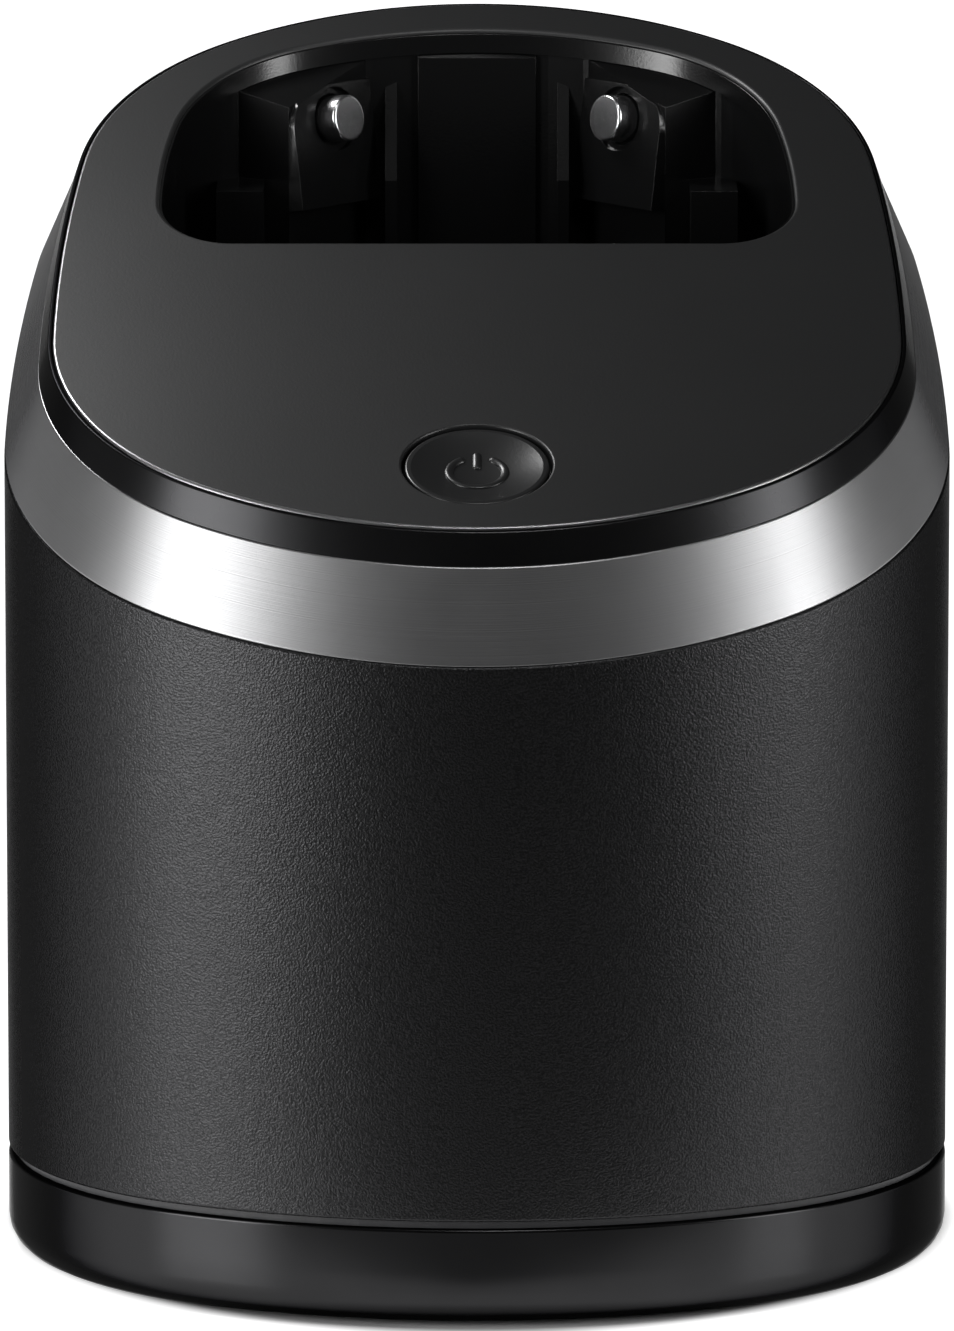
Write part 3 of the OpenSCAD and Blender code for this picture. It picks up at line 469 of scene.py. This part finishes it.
class Finish:
    """A procedural material in the making."""

    def __init__(self, name, **constants):
        self.material = bpy.data.materials.new(name)
        self.material.use_nodes = True
        self.tree = self.material.node_tree
        self.tree.nodes.clear()
        output = self.tree.nodes.new("ShaderNodeOutputMaterial")
        self.shader = self.tree.nodes.new("ShaderNodeBsdfPrincipled")
        self.tree.links.new(self.shader.outputs[0], output.inputs["Surface"])
        for socket, value in constants.items():
            self.shader.inputs[socket.replace("_", " ")].default_value = value
        self.place = self.node("ShaderNodeTexCoord", output="Object")

    def node(self, kind, settings=None, *values, output=0, **named):
        """Adds a node: its settings first, then the values or links of its sockets."""
        node = self.tree.nodes.new(kind)
        for key, value in (settings or {}).items():
            setattr(node, key, value)
        pairs = list(enumerate(values)) + [(k.replace("_", " "), v) for k, v in named.items()]
        for socket, value in pairs:
            if isinstance(value, Field):
                self.tree.links.new(value.socket, node.inputs[socket])
            else:
                node.inputs[socket].default_value = value
        return Field(self, node.outputs[output])

    def axis(self, name):
        """One of the Object coordinates, X, Y or Z."""
        return self.node("ShaderNodeSeparateXYZ", Vector=self.place, output=name)

    def noise(self, scale, detail=2.0, rough=0.5):
        """A noise texture on the Object coordinates."""
        return self.node(
            "ShaderNodeTexNoise", Vector=self.place, Scale=scale, Detail=detail, Roughness=rough
        )

    def mix(self, factor, low, high):
        """A Mix node on two colours."""
        node = self.tree.nodes.new("ShaderNodeMix")
        node.data_type = "RGBA"
        self.tree.links.new(factor.socket, node.inputs[0])
        for socket, value in ((6, low), (7, high)):
            if isinstance(value, Field):
                self.tree.links.new(value.socket, node.inputs[socket])
            else:
                node.inputs[socket].default_value = (*value, 1)
        return Field(self, node.outputs[2])

    def feed(self, socket, value):
        """Links a value to one of the shader's sockets."""
        self.tree.links.new(value.socket, self.shader.inputs[socket])

    def relief(self, height, strength, distance):
        """Feeds the shader's normal from a height."""
        bump = self.node("ShaderNodeBump", Strength=strength, Distance=distance, Height=height)
        self.feed("Normal", bump)


def shade(rgb, share):
    """A colour that is lighter or darker by a share."""
    return tuple(min(1.0, c * share) for c in rgb)


def sanded_black(rgb):
    """Black coat with a fine sand grain that catches the light and stays dark at its edges."""
    f = Finish("sanded_black", Metallic=0.95, Specular_Tint=(0, 0, 0, 1))
    grain = f.noise(4200, 1.0, 0.5)
    f.feed("Base Color", f.mix(grain.between(0.35, 0.65), shade(rgb, 0.8), shade(rgb, 1.2)))
    f.feed("Roughness", 0.32 + 0.08 * grain)
    f.relief(grain, 0.28, 0.0003)
    return f.material


def gloss_black(rgb, name, rough=0.25):
    """Gloss black with the faint waviness of a moulded skin."""
    f = Finish(name, Metallic=0.95, Specular_Tint=(0, 0, 0, 1))
    cloud = f.noise(90, 3.0)
    f.feed("Base Color", f.mix(cloud, shade(rgb, 0.85), shade(rgb, 1.15)))
    f.feed("Roughness", rough + 0.04 * cloud)
    f.relief(cloud, 0.02, 0.0004)
    return f.material


def satin_black(rgb, name, rough):
    """Dark satin lacquer, very smooth, with a hardly visible grain."""
    f = Finish(name, Specular_IOR_Level=0.5)
    grain = f.noise(3200, 2.0)
    cloud = f.noise(35, 2.0)
    f.feed("Base Color", f.mix(cloud, shade(rgb, 0.94), shade(rgb, 1.06)))
    f.feed("Roughness", rough + 0.05 * grain + 0.03 * cloud)
    f.relief(grain, 0.06, 0.0002)
    return f.material


def brushed_band(rgb, slope):
    """Satin metal with fine lines that run round the band, along its slope."""
    f = Finish("brushed_band", Metallic=1.0, Specular_Tint=(0, 0, 0, 1))
    height = f.axis("Z") - f.axis("Y") * math.tan(slope)
    lines = f.node("ShaderNodeTexNoise", {"noise_dimensions": "1D"}, W=height, Scale=9000.0)
    cloud = f.noise(140, 3.0, 0.6)
    f.feed("Base Color", f.mix(lines, shade(rgb, 0.92), shade(rgb, 1.06)))
    f.feed("Roughness", 0.3 + 0.07 * lines + 0.04 * cloud)
    f.relief(lines, 0.08, 0.0002)
    return f.material


def plain_metal(name, rgb, rough):
    """Machined or drawn metal with fine wear."""
    f = Finish(name, Metallic=1.0)
    grain = f.noise(1500, 3.0, 0.6)
    wear = f.noise(220, 2.0)
    f.feed("Base Color", f.mix(wear, shade(rgb, 0.88), shade(rgb, 1.05)))
    f.feed("Roughness", rough + 0.06 * grain)
    f.relief(grain, 0.02, 0.0002)
    return f.material


def moulded(name, rgb, rough=0.45, grain_scale=1200, relief=0.1, **constants):
    """Moulded plastic or rubber with a fine texture and slight cloudiness."""
    f = Finish(name, **constants)
    grain = f.noise(grain_scale, 3.0, 0.6)
    cloud = f.noise(80, 2.0)
    f.feed("Base Color", f.mix(cloud, shade(rgb, 0.88), shade(rgb, 1.1)))
    f.feed("Roughness", rough + 0.12 * grain)
    f.relief(grain, relief, 0.0003)
    return f.material


def board_finish(rgb):
    """Solder mask with traces under it, drawn by bands of noise."""
    f = Finish("board_green", Coat_Weight=0.3)
    lines = f.noise(420, 1.0).between(0.49, 0.52) * (1 - f.noise(420, 1.0).between(0.52, 0.55))
    f.feed("Base Color", f.mix(lines, rgb, shade(rgb, 1.9)))
    f.feed("Roughness", 0.3 + 0.1 * f.noise(700))
    f.relief(lines, 0.1, 0.0001)
    return f.material


FINISHES = {}


def make_finishes():
    """Makes every finish once. The inner ones are named as the record's material slots."""
    c = bpy.context.scene.station_colours
    s = bpy.context.scene.station_shell
    FINISHES.update(
        sleeve=sanded_black(tuple(c.sleeve)),
        gloss=gloss_black(tuple(c.gloss), "gloss_black"),
        base=gloss_black(tuple(c.gloss), "base_black", 0.2),
        # The well's black is the panel's colour at 0.35: painted shade for the deep recess. The well
        # liner and the lining of its mouth wear it.
        well=satin_black(shade(tuple(c.panel), 0.35), "well_black_painted_shade", 0.16),
        panel=satin_black(tuple(c.panel), "satin_panel", 0.36),
        button=satin_black(tuple(c.panel), "satin_button", 0.28),
        # Light grey metal for the bead on the black panel's fillet: a painted highlight that stands in
        # for the fillet's bright line.
        edge=plain_metal("painted_highlight_edge", (0.45, 0.45, 0.46), 0.3),
        band=brushed_band(tuple(c.band), s.slope),
        pins=plain_metal("pin_metal", tuple(c.pins), 0.22),
        spring_steel=plain_metal("spring_steel", (0.55, 0.55, 0.57), 0.25),
        screw_steel=plain_metal("screw_steel", (0.6, 0.6, 0.62), 0.3),
        motor_steel=plain_metal("motor_steel", (0.5, 0.51, 0.52), 0.3),
        plug_brass=plain_metal("plug_brass", (0.75, 0.56, 0.24), 0.28),
        inner_grey=moulded("inner_grey", (0.05, 0.05, 0.053)),
        pump_ivory=moulded("pump_ivory", (0.68, 0.65, 0.56), 0.4),
        cartridge_blue=moulded("cartridge_blue", (0.09, 0.2, 0.42), 0.28, Coat_Weight=0.2),
        filter_white=moulded("filter_white", (0.8, 0.79, 0.74), 0.8, 900, 0.5),
        hose_clear=moulded("hose_clear", (0.62, 0.64, 0.62), 0.25),
        rubber_black=moulded("rubber_black", (0.015, 0.015, 0.015), 0.6, 1800, 0.3),
        board_green=board_finish((0.02, 0.16, 0.07)),
        lead_red=moulded("lead_red", (0.42, 0.02, 0.02), 0.4),
        textured_black=sanded_black(tuple(c.sleeve)),
        gloss_black=gloss_black(tuple(c.gloss), "gloss_black_inner"),
    )


# ---------------------------------------------------------------- pieces


class STATION_OT_base_ring(bpy.types.Operator):
    """Gloss base ring with a rounded lower edge"""

    bl_idname = "station.base_ring"
    bl_label = "Base ring"

    def execute(self, context):
        s = context.scene.station_shell
        low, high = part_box("base_ring")
        inner, wall, floor = 9.1 * MM, 2.4 * MM, 2.4 * MM
        foot_round, top_round, inside_round = 4 * MM, 0.4 * MM, 0.2 * MM
        corners = [
            (0, low.z, 0),
            (0, high.z, 0),
            (wall, high.z, 0),
            (wall, floor, 0),
            (inner, floor, 0),
            (inner, low.z, 0),
        ]
        radii = [foot_round, top_round] + [inside_round] * 4
        skin = Skin()
        swept_ring(skin, shell_outline(s), profile_run(corners, radii), s.slope)
        skin.build("base_ring_gloss", "base", FINISHES["base"], "base_ring", slot="gloss_black")
        return {"FINISHED"}


class STATION_OT_outer_sleeve(bpy.types.Operator):
    """Sanded outer sleeve, with the posts inside it that carry the inner frame"""

    bl_idname = "station.outer_sleeve"
    bl_label = "Outer sleeve"

    def execute(self, context):
        s = context.scene.station_shell
        top = s.deck - s.bezel - s.band
        corners = [(0, s.seam, 0), (0, top, 1), (s.wall, top, 1), (s.wall, s.seam, 0)]
        radii = [0.35 * MM, 0.35 * MM, 0.12 * MM, 0.3 * MM]
        outline = shell_outline(s)
        skin = Skin()
        swept_ring(skin, outline, profile_run(corners, radii), s.slope)
        self.add_posts(skin, outline)
        skin.build(
            "outer_sleeve_sanded", "housing", FINISHES["sleeve"], "outer_sleeve",
            slot="textured_black",
        )
        return {"FINISHED"}

    def add_posts(self, skin, outline):
        """Four posts inside the wall, each with a blind hole in its top for a screw."""
        inset, foot, hole_foot, top = 5.5 * MM, 55 * MM, 58 * MM, 67 * MM
        outer, hole = 3.6 * MM, 1.2 * MM
        section = np.array(
            [(0, foot), (outer, foot), (outer, top), (hole, top), (hole, hole_foot), (0, hole_foot)]
        )
        places, angle = outline.points(inset), outline.rows[:, 3]
        bearing = np.arctan2(np.sin(angle), outline.side * np.cos(angle))
        for wanted in np.radians((-48, 42, 138, -132)):
            away = np.abs(np.angle(np.exp(1j * (bearing - wanted))))
            spot = np.array([*places[np.argmin(away)], 0])
            grids = [turned(side, 32) + spot for side in sides_of(section)]
            skin.add_runs(grids, closed=False)


class STATION_OT_trim_band(bpy.types.Operator):
    """Metal band that tapers inwards above the sleeve"""

    bl_idname = "station.trim_band"
    bl_label = "Trim band"

    def execute(self, context):
        s = context.scene.station_shell
        top = s.deck - s.bezel
        low = top - s.band
        lip, foot = s.wall + 0.3 * MM, low - 2.5 * MM
        inner, back = s.band_inset + 2 * MM, lip + 1.6 * MM
        corners = [
            (0, low, 1),
            (s.band_inset, top, 1),
            (inner, top, 1),
            (back, low, 1),
            (back, foot, 1),
            (lip, foot, 1),
            (lip, low, 1),
        ]
        radii = [0.25 * MM] * 2 + [0.15 * MM] * 5
        skin = Skin()
        swept_ring(skin, shell_outline(s), profile_run(corners, radii), s.slope)
        skin.build("trim_band_metal", "housing", FINISHES["band"], "trim_band", slot="band_metal")
        return {"FINISHED"}


class STATION_OT_bezel_ring(bpy.types.Operator):
    """Gloss ring between the band and the panel"""

    bl_idname = "station.bezel_ring"
    bl_label = "Bezel ring"

    def execute(self, context):
        s = context.scene.station_shell
        low, top = s.deck - s.bezel, s.deck - 0.18 * MM
        ledge = s.deck - s.panel / math.cos(s.slope) - 0.1 * MM
        lip, foot = s.band_inset + 2.2 * MM, low - 1.6 * MM
        edge, back = s.panel_inset - 0.15 * MM, lip + 2 * MM
        corners = [
            (s.band_inset, low, 1),
            (edge - 0.4 * MM, top, 1),
            (edge, top, 1),
            (edge, ledge, 1),
            (back, ledge, 1),
            (back, foot, 1),
            (lip, foot, 1),
            (lip, low, 1),
        ]
        radii = [0.12 * MM, 0.2 * MM, 0.06 * MM] + [0.1 * MM] * 5
        skin = Skin()
        swept_ring(skin, shell_outline(s), profile_run(corners, radii), s.slope)
        skin.build("bezel_ring_gloss", "housing", FINISHES["gloss"], "bezel_ring", slot="gloss_black")
        return {"FINISHED"}


def edge_profile(depth, fillet, steps=5):
    """An edge in section, as (how far out, how far down): a quarter round, then straight."""
    t = np.linspace(0, math.pi / 2, steps + 1)
    top = np.stack([np.sin(t) * fillet, (1 - np.cos(t)) * fillet], 1)
    return np.vstack([top, [(fillet, depth * 0.5), (fillet, depth)]])


class STATION_OT_top_panel(bpy.types.Operator):
    """Satin panel with the mouth of the well and the hole for the button"""

    bl_idname = "station.top_panel"
    bl_label = "Top panel"

    def execute(self, context):
        s, w = context.scene.station_shell, context.scene.station_well
        tangent, drop = math.tan(s.slope), s.panel / math.cos(s.slope)
        shell, well = shell_outline(s), well_outline(w)
        normal = np.array(deck_normal(s))
        skin = Skin()

        def wall(points, section):
            """The wall under an edge. Its plan points and section are in the same order."""
            height = s.deck + points[..., 1] * tangent - section[:, 1]
            return np.concatenate([points, height[..., None]], 2)

        rim_round, mouth_round, hole_round = 0.3 * MM, 0.45 * MM, 0.25 * MM
        rim, mouth = edge_profile(drop, rim_round), edge_profile(drop, mouth_round)
        hole = edge_profile(s.panel, hole_round)
        outer = np.stack([shell.points(s.panel_inset + rim_round - out) for out in rim[:, 0]], 1)
        inner = np.stack([well.points(out - mouth_round) for out in mouth[:, 0]], 1)
        hole = np.stack([w.button_hole + hole_round - hole[:, 0], -hole[:, 1]], 1)
        grids = [
            wall(outer, rim)[:, ::-1],
            wall(inner, mouth),
            placed(turned(hole, 128), deck_place(s, 0, w.button_place), (1, 0, 0), normal),
        ]
        ends = [skin.add_runs([grid], closed=False) for grid in grids]
        for top, facing in ((0, normal), (1, -normal)):
            columns = [1 - top, top, top]
            loops = [end[column] for end, column in zip(ends, columns)]
            flat = [grid[:, -column, :2] for grid, column in zip(grids, columns)]
            skin.fill(loops, flat, facing)
        self.add_fittings(skin, s, w, normal)
        skin.build("top_panel_satin", "housing", FINISHES["panel"], "top_panel", slot="panel_graphite")
        self.add_painted_highlight(s, shell)
        self.add_lining(s, well, drop)
        return {"FINISHED"}

    def add_painted_highlight(self, s, shell):
        """A painted highlight round the panel: a fine bead of light grey metal on its fillet, where the
        black panel's edge catches the light.
        """
        bead, bead_round, slight = 0.36 * MM, 0.3 * MM, 0.03 * MM
        near, far = s.panel_inset, s.panel_inset + bead
        low, top = s.deck - bead, s.deck
        corners = [(near, low, 1), (near, top, 1), (far, top, 1), (far, low, 1)]
        radii = [slight, bead_round, slight, slight]
        skin = Skin()
        swept_ring(skin, shell, profile_run(corners, radii), s.slope)
        skin.build("top_panel_painted_highlight", "housing", FINISHES["edge"], slot="panel_graphite")

    def add_lining(self, s, well, drop):
        """The gloss lining of the well's mouth, below the fillet of the panel. It wears the well's
        darker black, which is painted shade.
        """
        face, back = -0.1 * MM, 0.3 * MM
        top, low = s.deck - 0.4 * MM, s.deck - drop + 0.1 * MM
        corners = [(face, low, 1), (face, top, 1), (back, top, 1), (back, low, 1)]
        skin = Skin()
        swept_ring(skin, well, profile_run(corners, [0.05 * MM] * 4), s.slope)
        skin.build("well_mouth_lining", "housing", FINISHES["well"], slot="gloss_black")

    def add_fittings(self, skin, s, w, normal):
        """The button's guide and the posts for the board, as tubes under the panel."""
        guide_in, guide_out = w.button_hole + 2.1 * MM, w.button_hole + 3.3 * MM
        post_in, post_out = 0.9 * MM, 2.6 * MM
        under, guide_foot = -s.panel + 0.05 * MM, -s.panel - 4 * MM
        tubes = [(guide_in, guide_out, guide_foot, 0, 0)]
        for x in (-18 * MM, 18 * MM):
            tubes += [(post_in, post_out, BOARD_TOP, x, v) for v in (-4 * MM, 12.5 * MM)]
        for near, far, foot, x, v in tubes:
            centre = deck_place(s, x, w.button_place + v)
            tube = np.array([(near, foot), (far, foot), (far, under), (near, under), (near, foot)])
            grids = [turned(side, 48) for side in sides_of(tube)]
            skin.add_runs([placed(grid, centre, (1, 0, 0), normal) for grid in grids])


class STATION_OT_well_liner(bpy.types.Operator):
    """Well liner with its pads, columns and ribs, their edges softened"""

    bl_idname = "station.well_liner"
    bl_label = "Well liner"

    def execute(self, context):
        node = frame["nodes"]["well_liner"]
        mesh = node.data.copy()
        piece = bpy.data.objects.new("well_liner_gloss", mesh)
        context.scene.collection.objects.link(piece)
        mesh.materials.clear()
        # The liner wears the well's darker black, which is painted shade.
        mesh.materials.append(FINISHES["well"])
        weld = piece.modifiers.new("weld", "WELD")
        weld.merge_threshold = 0.002 * MM
        flat = piece.modifiers.new("planar", "DECIMATE")
        flat.decimate_type = "DISSOLVE"
        flat.angle_limit = math.radians(0.4)
        bevel = piece.modifiers.new("soft_edges", "BEVEL")
        bevel.width = 0.35 * MM
        bevel.segments = 2
        bevel.limit_method = "ANGLE"
        bevel.angle_limit = math.radians(40)
        bevel.harden_normals = True
        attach(piece, "housing")
        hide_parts("well_liner")
        return {"FINISHED"}


class STATION_OT_power_button(bpy.types.Operator):
    """Dished round button with a power mark"""

    bl_idname = "station.power_button"
    bl_label = "Power button"

    def execute(self, context):
        s, w = context.scene.station_shell, context.scene.station_well
        normal, centre = deck_normal(s), deck_place(s, 0, w.button_place)
        top, rim = -0.3 * MM, w.button - 0.7 * MM
        sphere = (rim**2 + w.dish**2) / (2 * w.dish)

        def dish(radius):
            """Height of the dish at a radius: the lowest part of a sphere that meets the rim."""
            return top - w.dish + sphere - np.sqrt(sphere**2 - radius**2)

        radius = rim * np.sin(np.linspace(math.pi / 2, 0, 40))
        bowl = np.stack([radius, dish(radius)], 1)
        t = np.linspace(0, math.pi / 2, 7)
        edge, land = 0.3 * MM, 0.12 * MM
        round_over = np.stack(
            [w.button - edge + edge * np.cos(t), top - edge + edge * np.sin(t)], 1
        )
        crown = np.vstack([round_over, [(rim + land, top)], bowl])
        flange, plate, under = w.button_hole + 1.8 * MM, -2.7 * MM, -3.9 * MM
        switch, plunger, travel, gap = 3.5 * MM, 0.8 * MM, 0.8 * MM, 0.1 * MM
        stem, foot = 2.4 * MM, BOARD_TOP + switch + plunger + travel + gap
        side = np.array(
            [(0, foot), (stem, foot), (stem, under), (flange, under), (flange, plate),
             (w.button, plate), (w.button, top - edge)]
        )
        profiles = sides_of(side) + [crown]
        skin = Skin()
        grids = [placed(turned(p, 128), centre, (1, 0, 0), normal) for p in profiles]
        skin.add_runs(grids, closed=False)
        skin.build("power_button_dish", "button", FINISHES["button"], "power_button", slot="gloss_black")
        self.add_mark(dish, centre, normal)
        return {"FINISHED"}

    def add_mark(self, dish, centre, normal):
        """The power mark: an open ring and a bar, as strips half sunk into the dish.

        Across the strip the section is an ellipse, and at its ends the section goes to nothing as
        a circle does.
        """
        middle, reach, half, rise = 0.2 * MM, 3.2 * MM, 0.48 * MM, 0.28 * MM
        bar_foot, bar_top, opening = 0.9 * MM, 4.0 * MM, 26
        bearing = np.radians(np.linspace(90 + opening, 450 - opening, 90))
        arc = np.stack([reach * np.cos(bearing), middle + reach * np.sin(bearing)], 1)
        bar_y = np.linspace(middle + bar_foot, middle + bar_top, 40)
        bar = np.stack([bar_y * 0, bar_y], 1)
        skin = Skin()
        for path in (arc, bar):
            step = np.gradient(path, axis=0)
            step /= np.linalg.norm(step, axis=1, keepdims=True)
            run = np.r_[0, np.cumsum(np.linalg.norm(np.diff(path, axis=0), axis=1))]
            end = np.minimum(run, run[-1] - run) / half
            width = half * np.sqrt(np.clip(1 - np.clip(1 - end, 0, 1) ** 2, 0, 1))
            across = np.stack([-step[:, 1], step[:, 0]], 1)
            angle = np.linspace(0, 2 * math.pi, 24, endpoint=False)[:, None]
            plan = path[None] + across[None] * (width * np.cos(angle))[..., None]
            level = dish(np.linalg.norm(plan, axis=2)) + rise * np.sin(angle) * width / half
            grid = np.concatenate([plan, level[..., None]], 2)
            skin.add_runs([placed(grid, centre, (1, 0, 0), normal)], closed=False)
        skin.build("power_mark", "button", FINISHES["button"], slot="gloss_black")


class STATION_OT_contact_pins(bpy.types.Operator):
    """Metal contact pins in the rear wall of the well"""

    bl_idname = "station.contact_pins"
    bl_label = "Contact pins"

    def execute(self, context):
        w = context.scene.station_well
        flat, lift = math.cos(w.pin_lift), math.sin(w.pin_lift)
        back, foot, flange = -5.2 * MM, -6.2 * MM, w.pin + 0.6 * MM
        t = np.linspace(0, math.pi / 2, 6)
        edge = 0.35 * MM
        nose = np.stack([w.pin - edge + edge * np.cos(t), edge * np.sin(t) - edge], 1)
        tip = np.stack([np.linspace(w.pin - edge, 0, 6), np.zeros(6)], 1)
        shank = np.array([(0, foot), (flange, foot), (flange, back), (w.pin, back), (w.pin, -edge)])
        profiles = sides_of(shank) + [nose, tip]
        for name, side in (("left", -1), ("right", 1)):
            axis = (-side * flat * math.sin(w.pin_turn), -flat * math.cos(w.pin_turn), lift)
            across = (math.cos(w.pin_turn), -side * math.sin(w.pin_turn), 0)
            skin = Skin()
            face = (side * w.pin_aside, w.pin_behind, w.pin_height)
            grids = [placed(turned(p, 64), face, across, axis) for p in profiles]
            skin.add_runs(grids, closed=False)
            skin.build(
                name + "_contact_pin_metal", name + "_pin", FINISHES["pins"],
                name + "_contact_pin", slot="pin_metal",
            )
        return {"FINISHED"}


class STATION_OT_inner_parts(bpy.types.Operator):
    """Finishes of the pieces that keep their CAD shapes"""

    bl_idname = "station.inner_parts"
    bl_label = "Inner parts"

    def execute(self, context):
        slots = {p["node"]: p["material_slot"] for p in frame["record"]["subparts"]}
        for name, node in frame["nodes"].items():
            finish = FINISHES.get(slots.get(name), FINISHES["inner_grey"])
            if not node.data.materials:
                node.data.materials.append(finish)
            for k in range(len(node.data.materials)):
                node.data.materials[k] = finish
            for k in range(len(node.material_slots)):
                node.material_slots[k].link = "OBJECT"
                node.material_slots[k].material = finish
        return {"FINISHED"}


# ---------------------------------------------------------------- stage


# name, place, target, width and height, radiance, spread in degrees
LAMPS = (
    ("left_softbox", (-0.328, -0.262, 0.25), (0, 0, 0.25), (0.16, 0.49), 2.6, 90),
    ("right_softbox", (0.364, -0.21, 0.32), (0, 0, 0.32), (0.13, 0.56), 2.2, 90),
    ("panel_softbox", (-0.13, 0.09, 0.29), (-0.04, 0, 0.11), (0.08, 0.08), 10, 120),
    ("top_softbox", (0.04, -0.25, 0.62), (0, 0, 0.1), (0.12, 0.06), 3, 60),
)


def area_lamp(name, place, target, size, radiance, spread):
    """A soft rectangular lamp that looks at a target and has this radiance."""
    lamp = bpy.data.lights.new(name, "AREA")
    lamp.shape = "RECTANGLE"
    lamp.size, lamp.size_y = size
    lamp.energy = radiance * math.pi * size[0] * size[1]
    lamp.spread = math.radians(spread)
    holder = bpy.data.objects.new(name, lamp)
    holder.location = place
    direction = Vector(target) - Vector(place)
    holder.rotation_euler = direction.to_track_quat("-Z", "Y").to_euler()
    holder.visible_camera = False
    bpy.context.scene.collection.objects.link(holder)


class STATION_OT_studio(bpy.types.Operator):
    """Pale floor, soft lamps, world and the camera"""

    bl_idname = "station.studio"
    bl_label = "Studio"

    def execute(self, context):
        scene = context.scene
        scene.view_settings.view_transform = "Standard"
        self.add_floor()
        self.add_world(scene)
        for lamp in LAMPS:
            area_lamp(*lamp)
        self.add_camera(scene)
        return {"FINISHED"}

    def add_camera(self, scene):
        """A long lens at the photograph's place, level to the sides and turned down a little."""
        camera = bpy.data.objects.new("camera", bpy.data.cameras.new("camera"))
        camera.data.sensor_fit = "VERTICAL"
        camera.data.sensor_height = 36
        camera.data.lens = 352.46
        camera.data.clip_start, camera.data.clip_end = 0.05, 20
        camera.location = (0, -1.513, 0.3449)
        camera.rotation_euler = (math.radians(79.555), 0, 0)
        scene.collection.objects.link(camera)
        scene.camera = camera

    def add_floor(self):
        """A round pale floor whose rim rises as a smooth step, to close the horizon.

        The camera and reflections see it as white beside and behind the station. In front of the
        station, below the picture, the white gives way to a painted shade, with an edge that softens to
        the sides, so that the black pieces mirror a dark room. Round and under the station the white
        gives way to a painted contact shadow.
        """
        radius, rise, start = 3.5, 0.7, 0.6
        half_width, half_depth = 0.055, 0.062
        painted_shade_edge, spread, softness = 0.08, 0.25, 0.5
        share = np.linspace(0, 1, 60)
        t = np.clip((share - start) / (1 - start), 0, 1)
        profile = np.stack([radius * share, rise * t**2 * (3 - 2 * t)], 1)
        skin = Skin()
        skin.add_runs([turned(profile[::-1])], closed=False)
        floor = bpy.data.objects.new("floor", skin.mesh("floor"))
        bpy.context.scene.collection.objects.link(floor)
        f = Finish("floor_white_painted_shade", Roughness=0.3, Emission_Strength=1.0)
        cloud = f.noise(3, 2.0)
        f.feed("Base Color", f.mix(cloud, (0.78, 0.78, 0.78), (0.8, 0.8, 0.8)))
        kinds = ("Is Camera Ray", "Is Glossy Ray", "Is Transmission Ray")
        seen = sum(f.node("ShaderNodeLightPath", output=kind) for kind in kinds)
        x, y = f.axis("X"), f.axis("Y")
        # reach is under 1 inside an ellipse round the station's foot, where the white fades to a painted
        # contact shadow.
        reach = x * x * (1 / half_width**2) + y * y * (1 / half_depth**2)
        aside = x.math("ABSOLUTE")
        # front is the painted shade in front of the station: the white fades out below a line that
        # softens to the sides.
        front = (y + painted_shade_edge + aside * spread) / (aside * softness + 0.005)
        white = seen.math("MINIMUM", 1.0) * front.between(-0.5, 0.5) * reach.between(0.95, 1.1)
        # The floor glows white only outside the painted shade in front and the painted contact shadow.
        f.feed("Emission Color", f.mix(white, (0, 0, 0), (0.98, 0.98, 0.98)))
        floor.data.materials.append(f.material)

    def add_world(self, scene):
        """A dim even world."""
        world = bpy.data.worlds.new("studio")
        world.use_nodes = True
        scene.world = world
        background = world.node_tree.nodes["Background"]
        background.inputs["Color"].default_value = (1, 1, 1, 1)
        background.inputs["Strength"].default_value = 0.03


CLASSES = (
    ShellSizes, WellSizes, FinishColours,
    STATION_OT_base_ring, STATION_OT_outer_sleeve, STATION_OT_trim_band, STATION_OT_bezel_ring,
    STATION_OT_top_panel, STATION_OT_well_liner, STATION_OT_power_button,
    STATION_OT_contact_pins, STATION_OT_inner_parts, STATION_OT_studio,
)
OPERATORS = [c for c in CLASSES if issubclass(c, bpy.types.Operator)]


class STATION_PT_panel(bpy.types.Panel):
    """Lists the sizes and the steps of the station"""

    bl_label = "Cleaning station"
    bl_idname = "STATION_PT_panel"
    bl_space_type = "VIEW_3D"
    bl_region_type = "UI"
    bl_category = "Station"

    def draw(self, context):
        for group in ("station_shell", "station_well", "station_colours"):
            holder = getattr(context.scene, group)
            box = self.layout.box()
            for name in holder.__annotations__:
                box.prop(holder, name)
        for step in OPERATORS:
            self.layout.operator(step.bl_idname)


def register():
    """Registers the classes and puts the sizes and colours on the scene."""
    for each in (*CLASSES, STATION_PT_panel):
        bpy.utils.register_class(each)
    bpy.types.Scene.station_shell = bpy.props.PointerProperty(type=ShellSizes)
    bpy.types.Scene.station_well = bpy.props.PointerProperty(type=WellSizes)
    bpy.types.Scene.station_colours = bpy.props.PointerProperty(type=FinishColours)


def unregister():
    """Takes the classes and the scene's groups away again."""
    del bpy.types.Scene.station_colours
    del bpy.types.Scene.station_well
    del bpy.types.Scene.station_shell
    for each in reversed((*CLASSES, STATION_PT_panel)):
        bpy.utils.unregister_class(each)


def main():
    """Builds every piece and the stage."""
    register()
    make_finishes()
    for step in OPERATORS:
        group, name = step.bl_idname.split(".")
        getattr(getattr(bpy.ops, group), name)()
    bpy.context.view_layer.update()


if __name__ == "__main__":
    main()
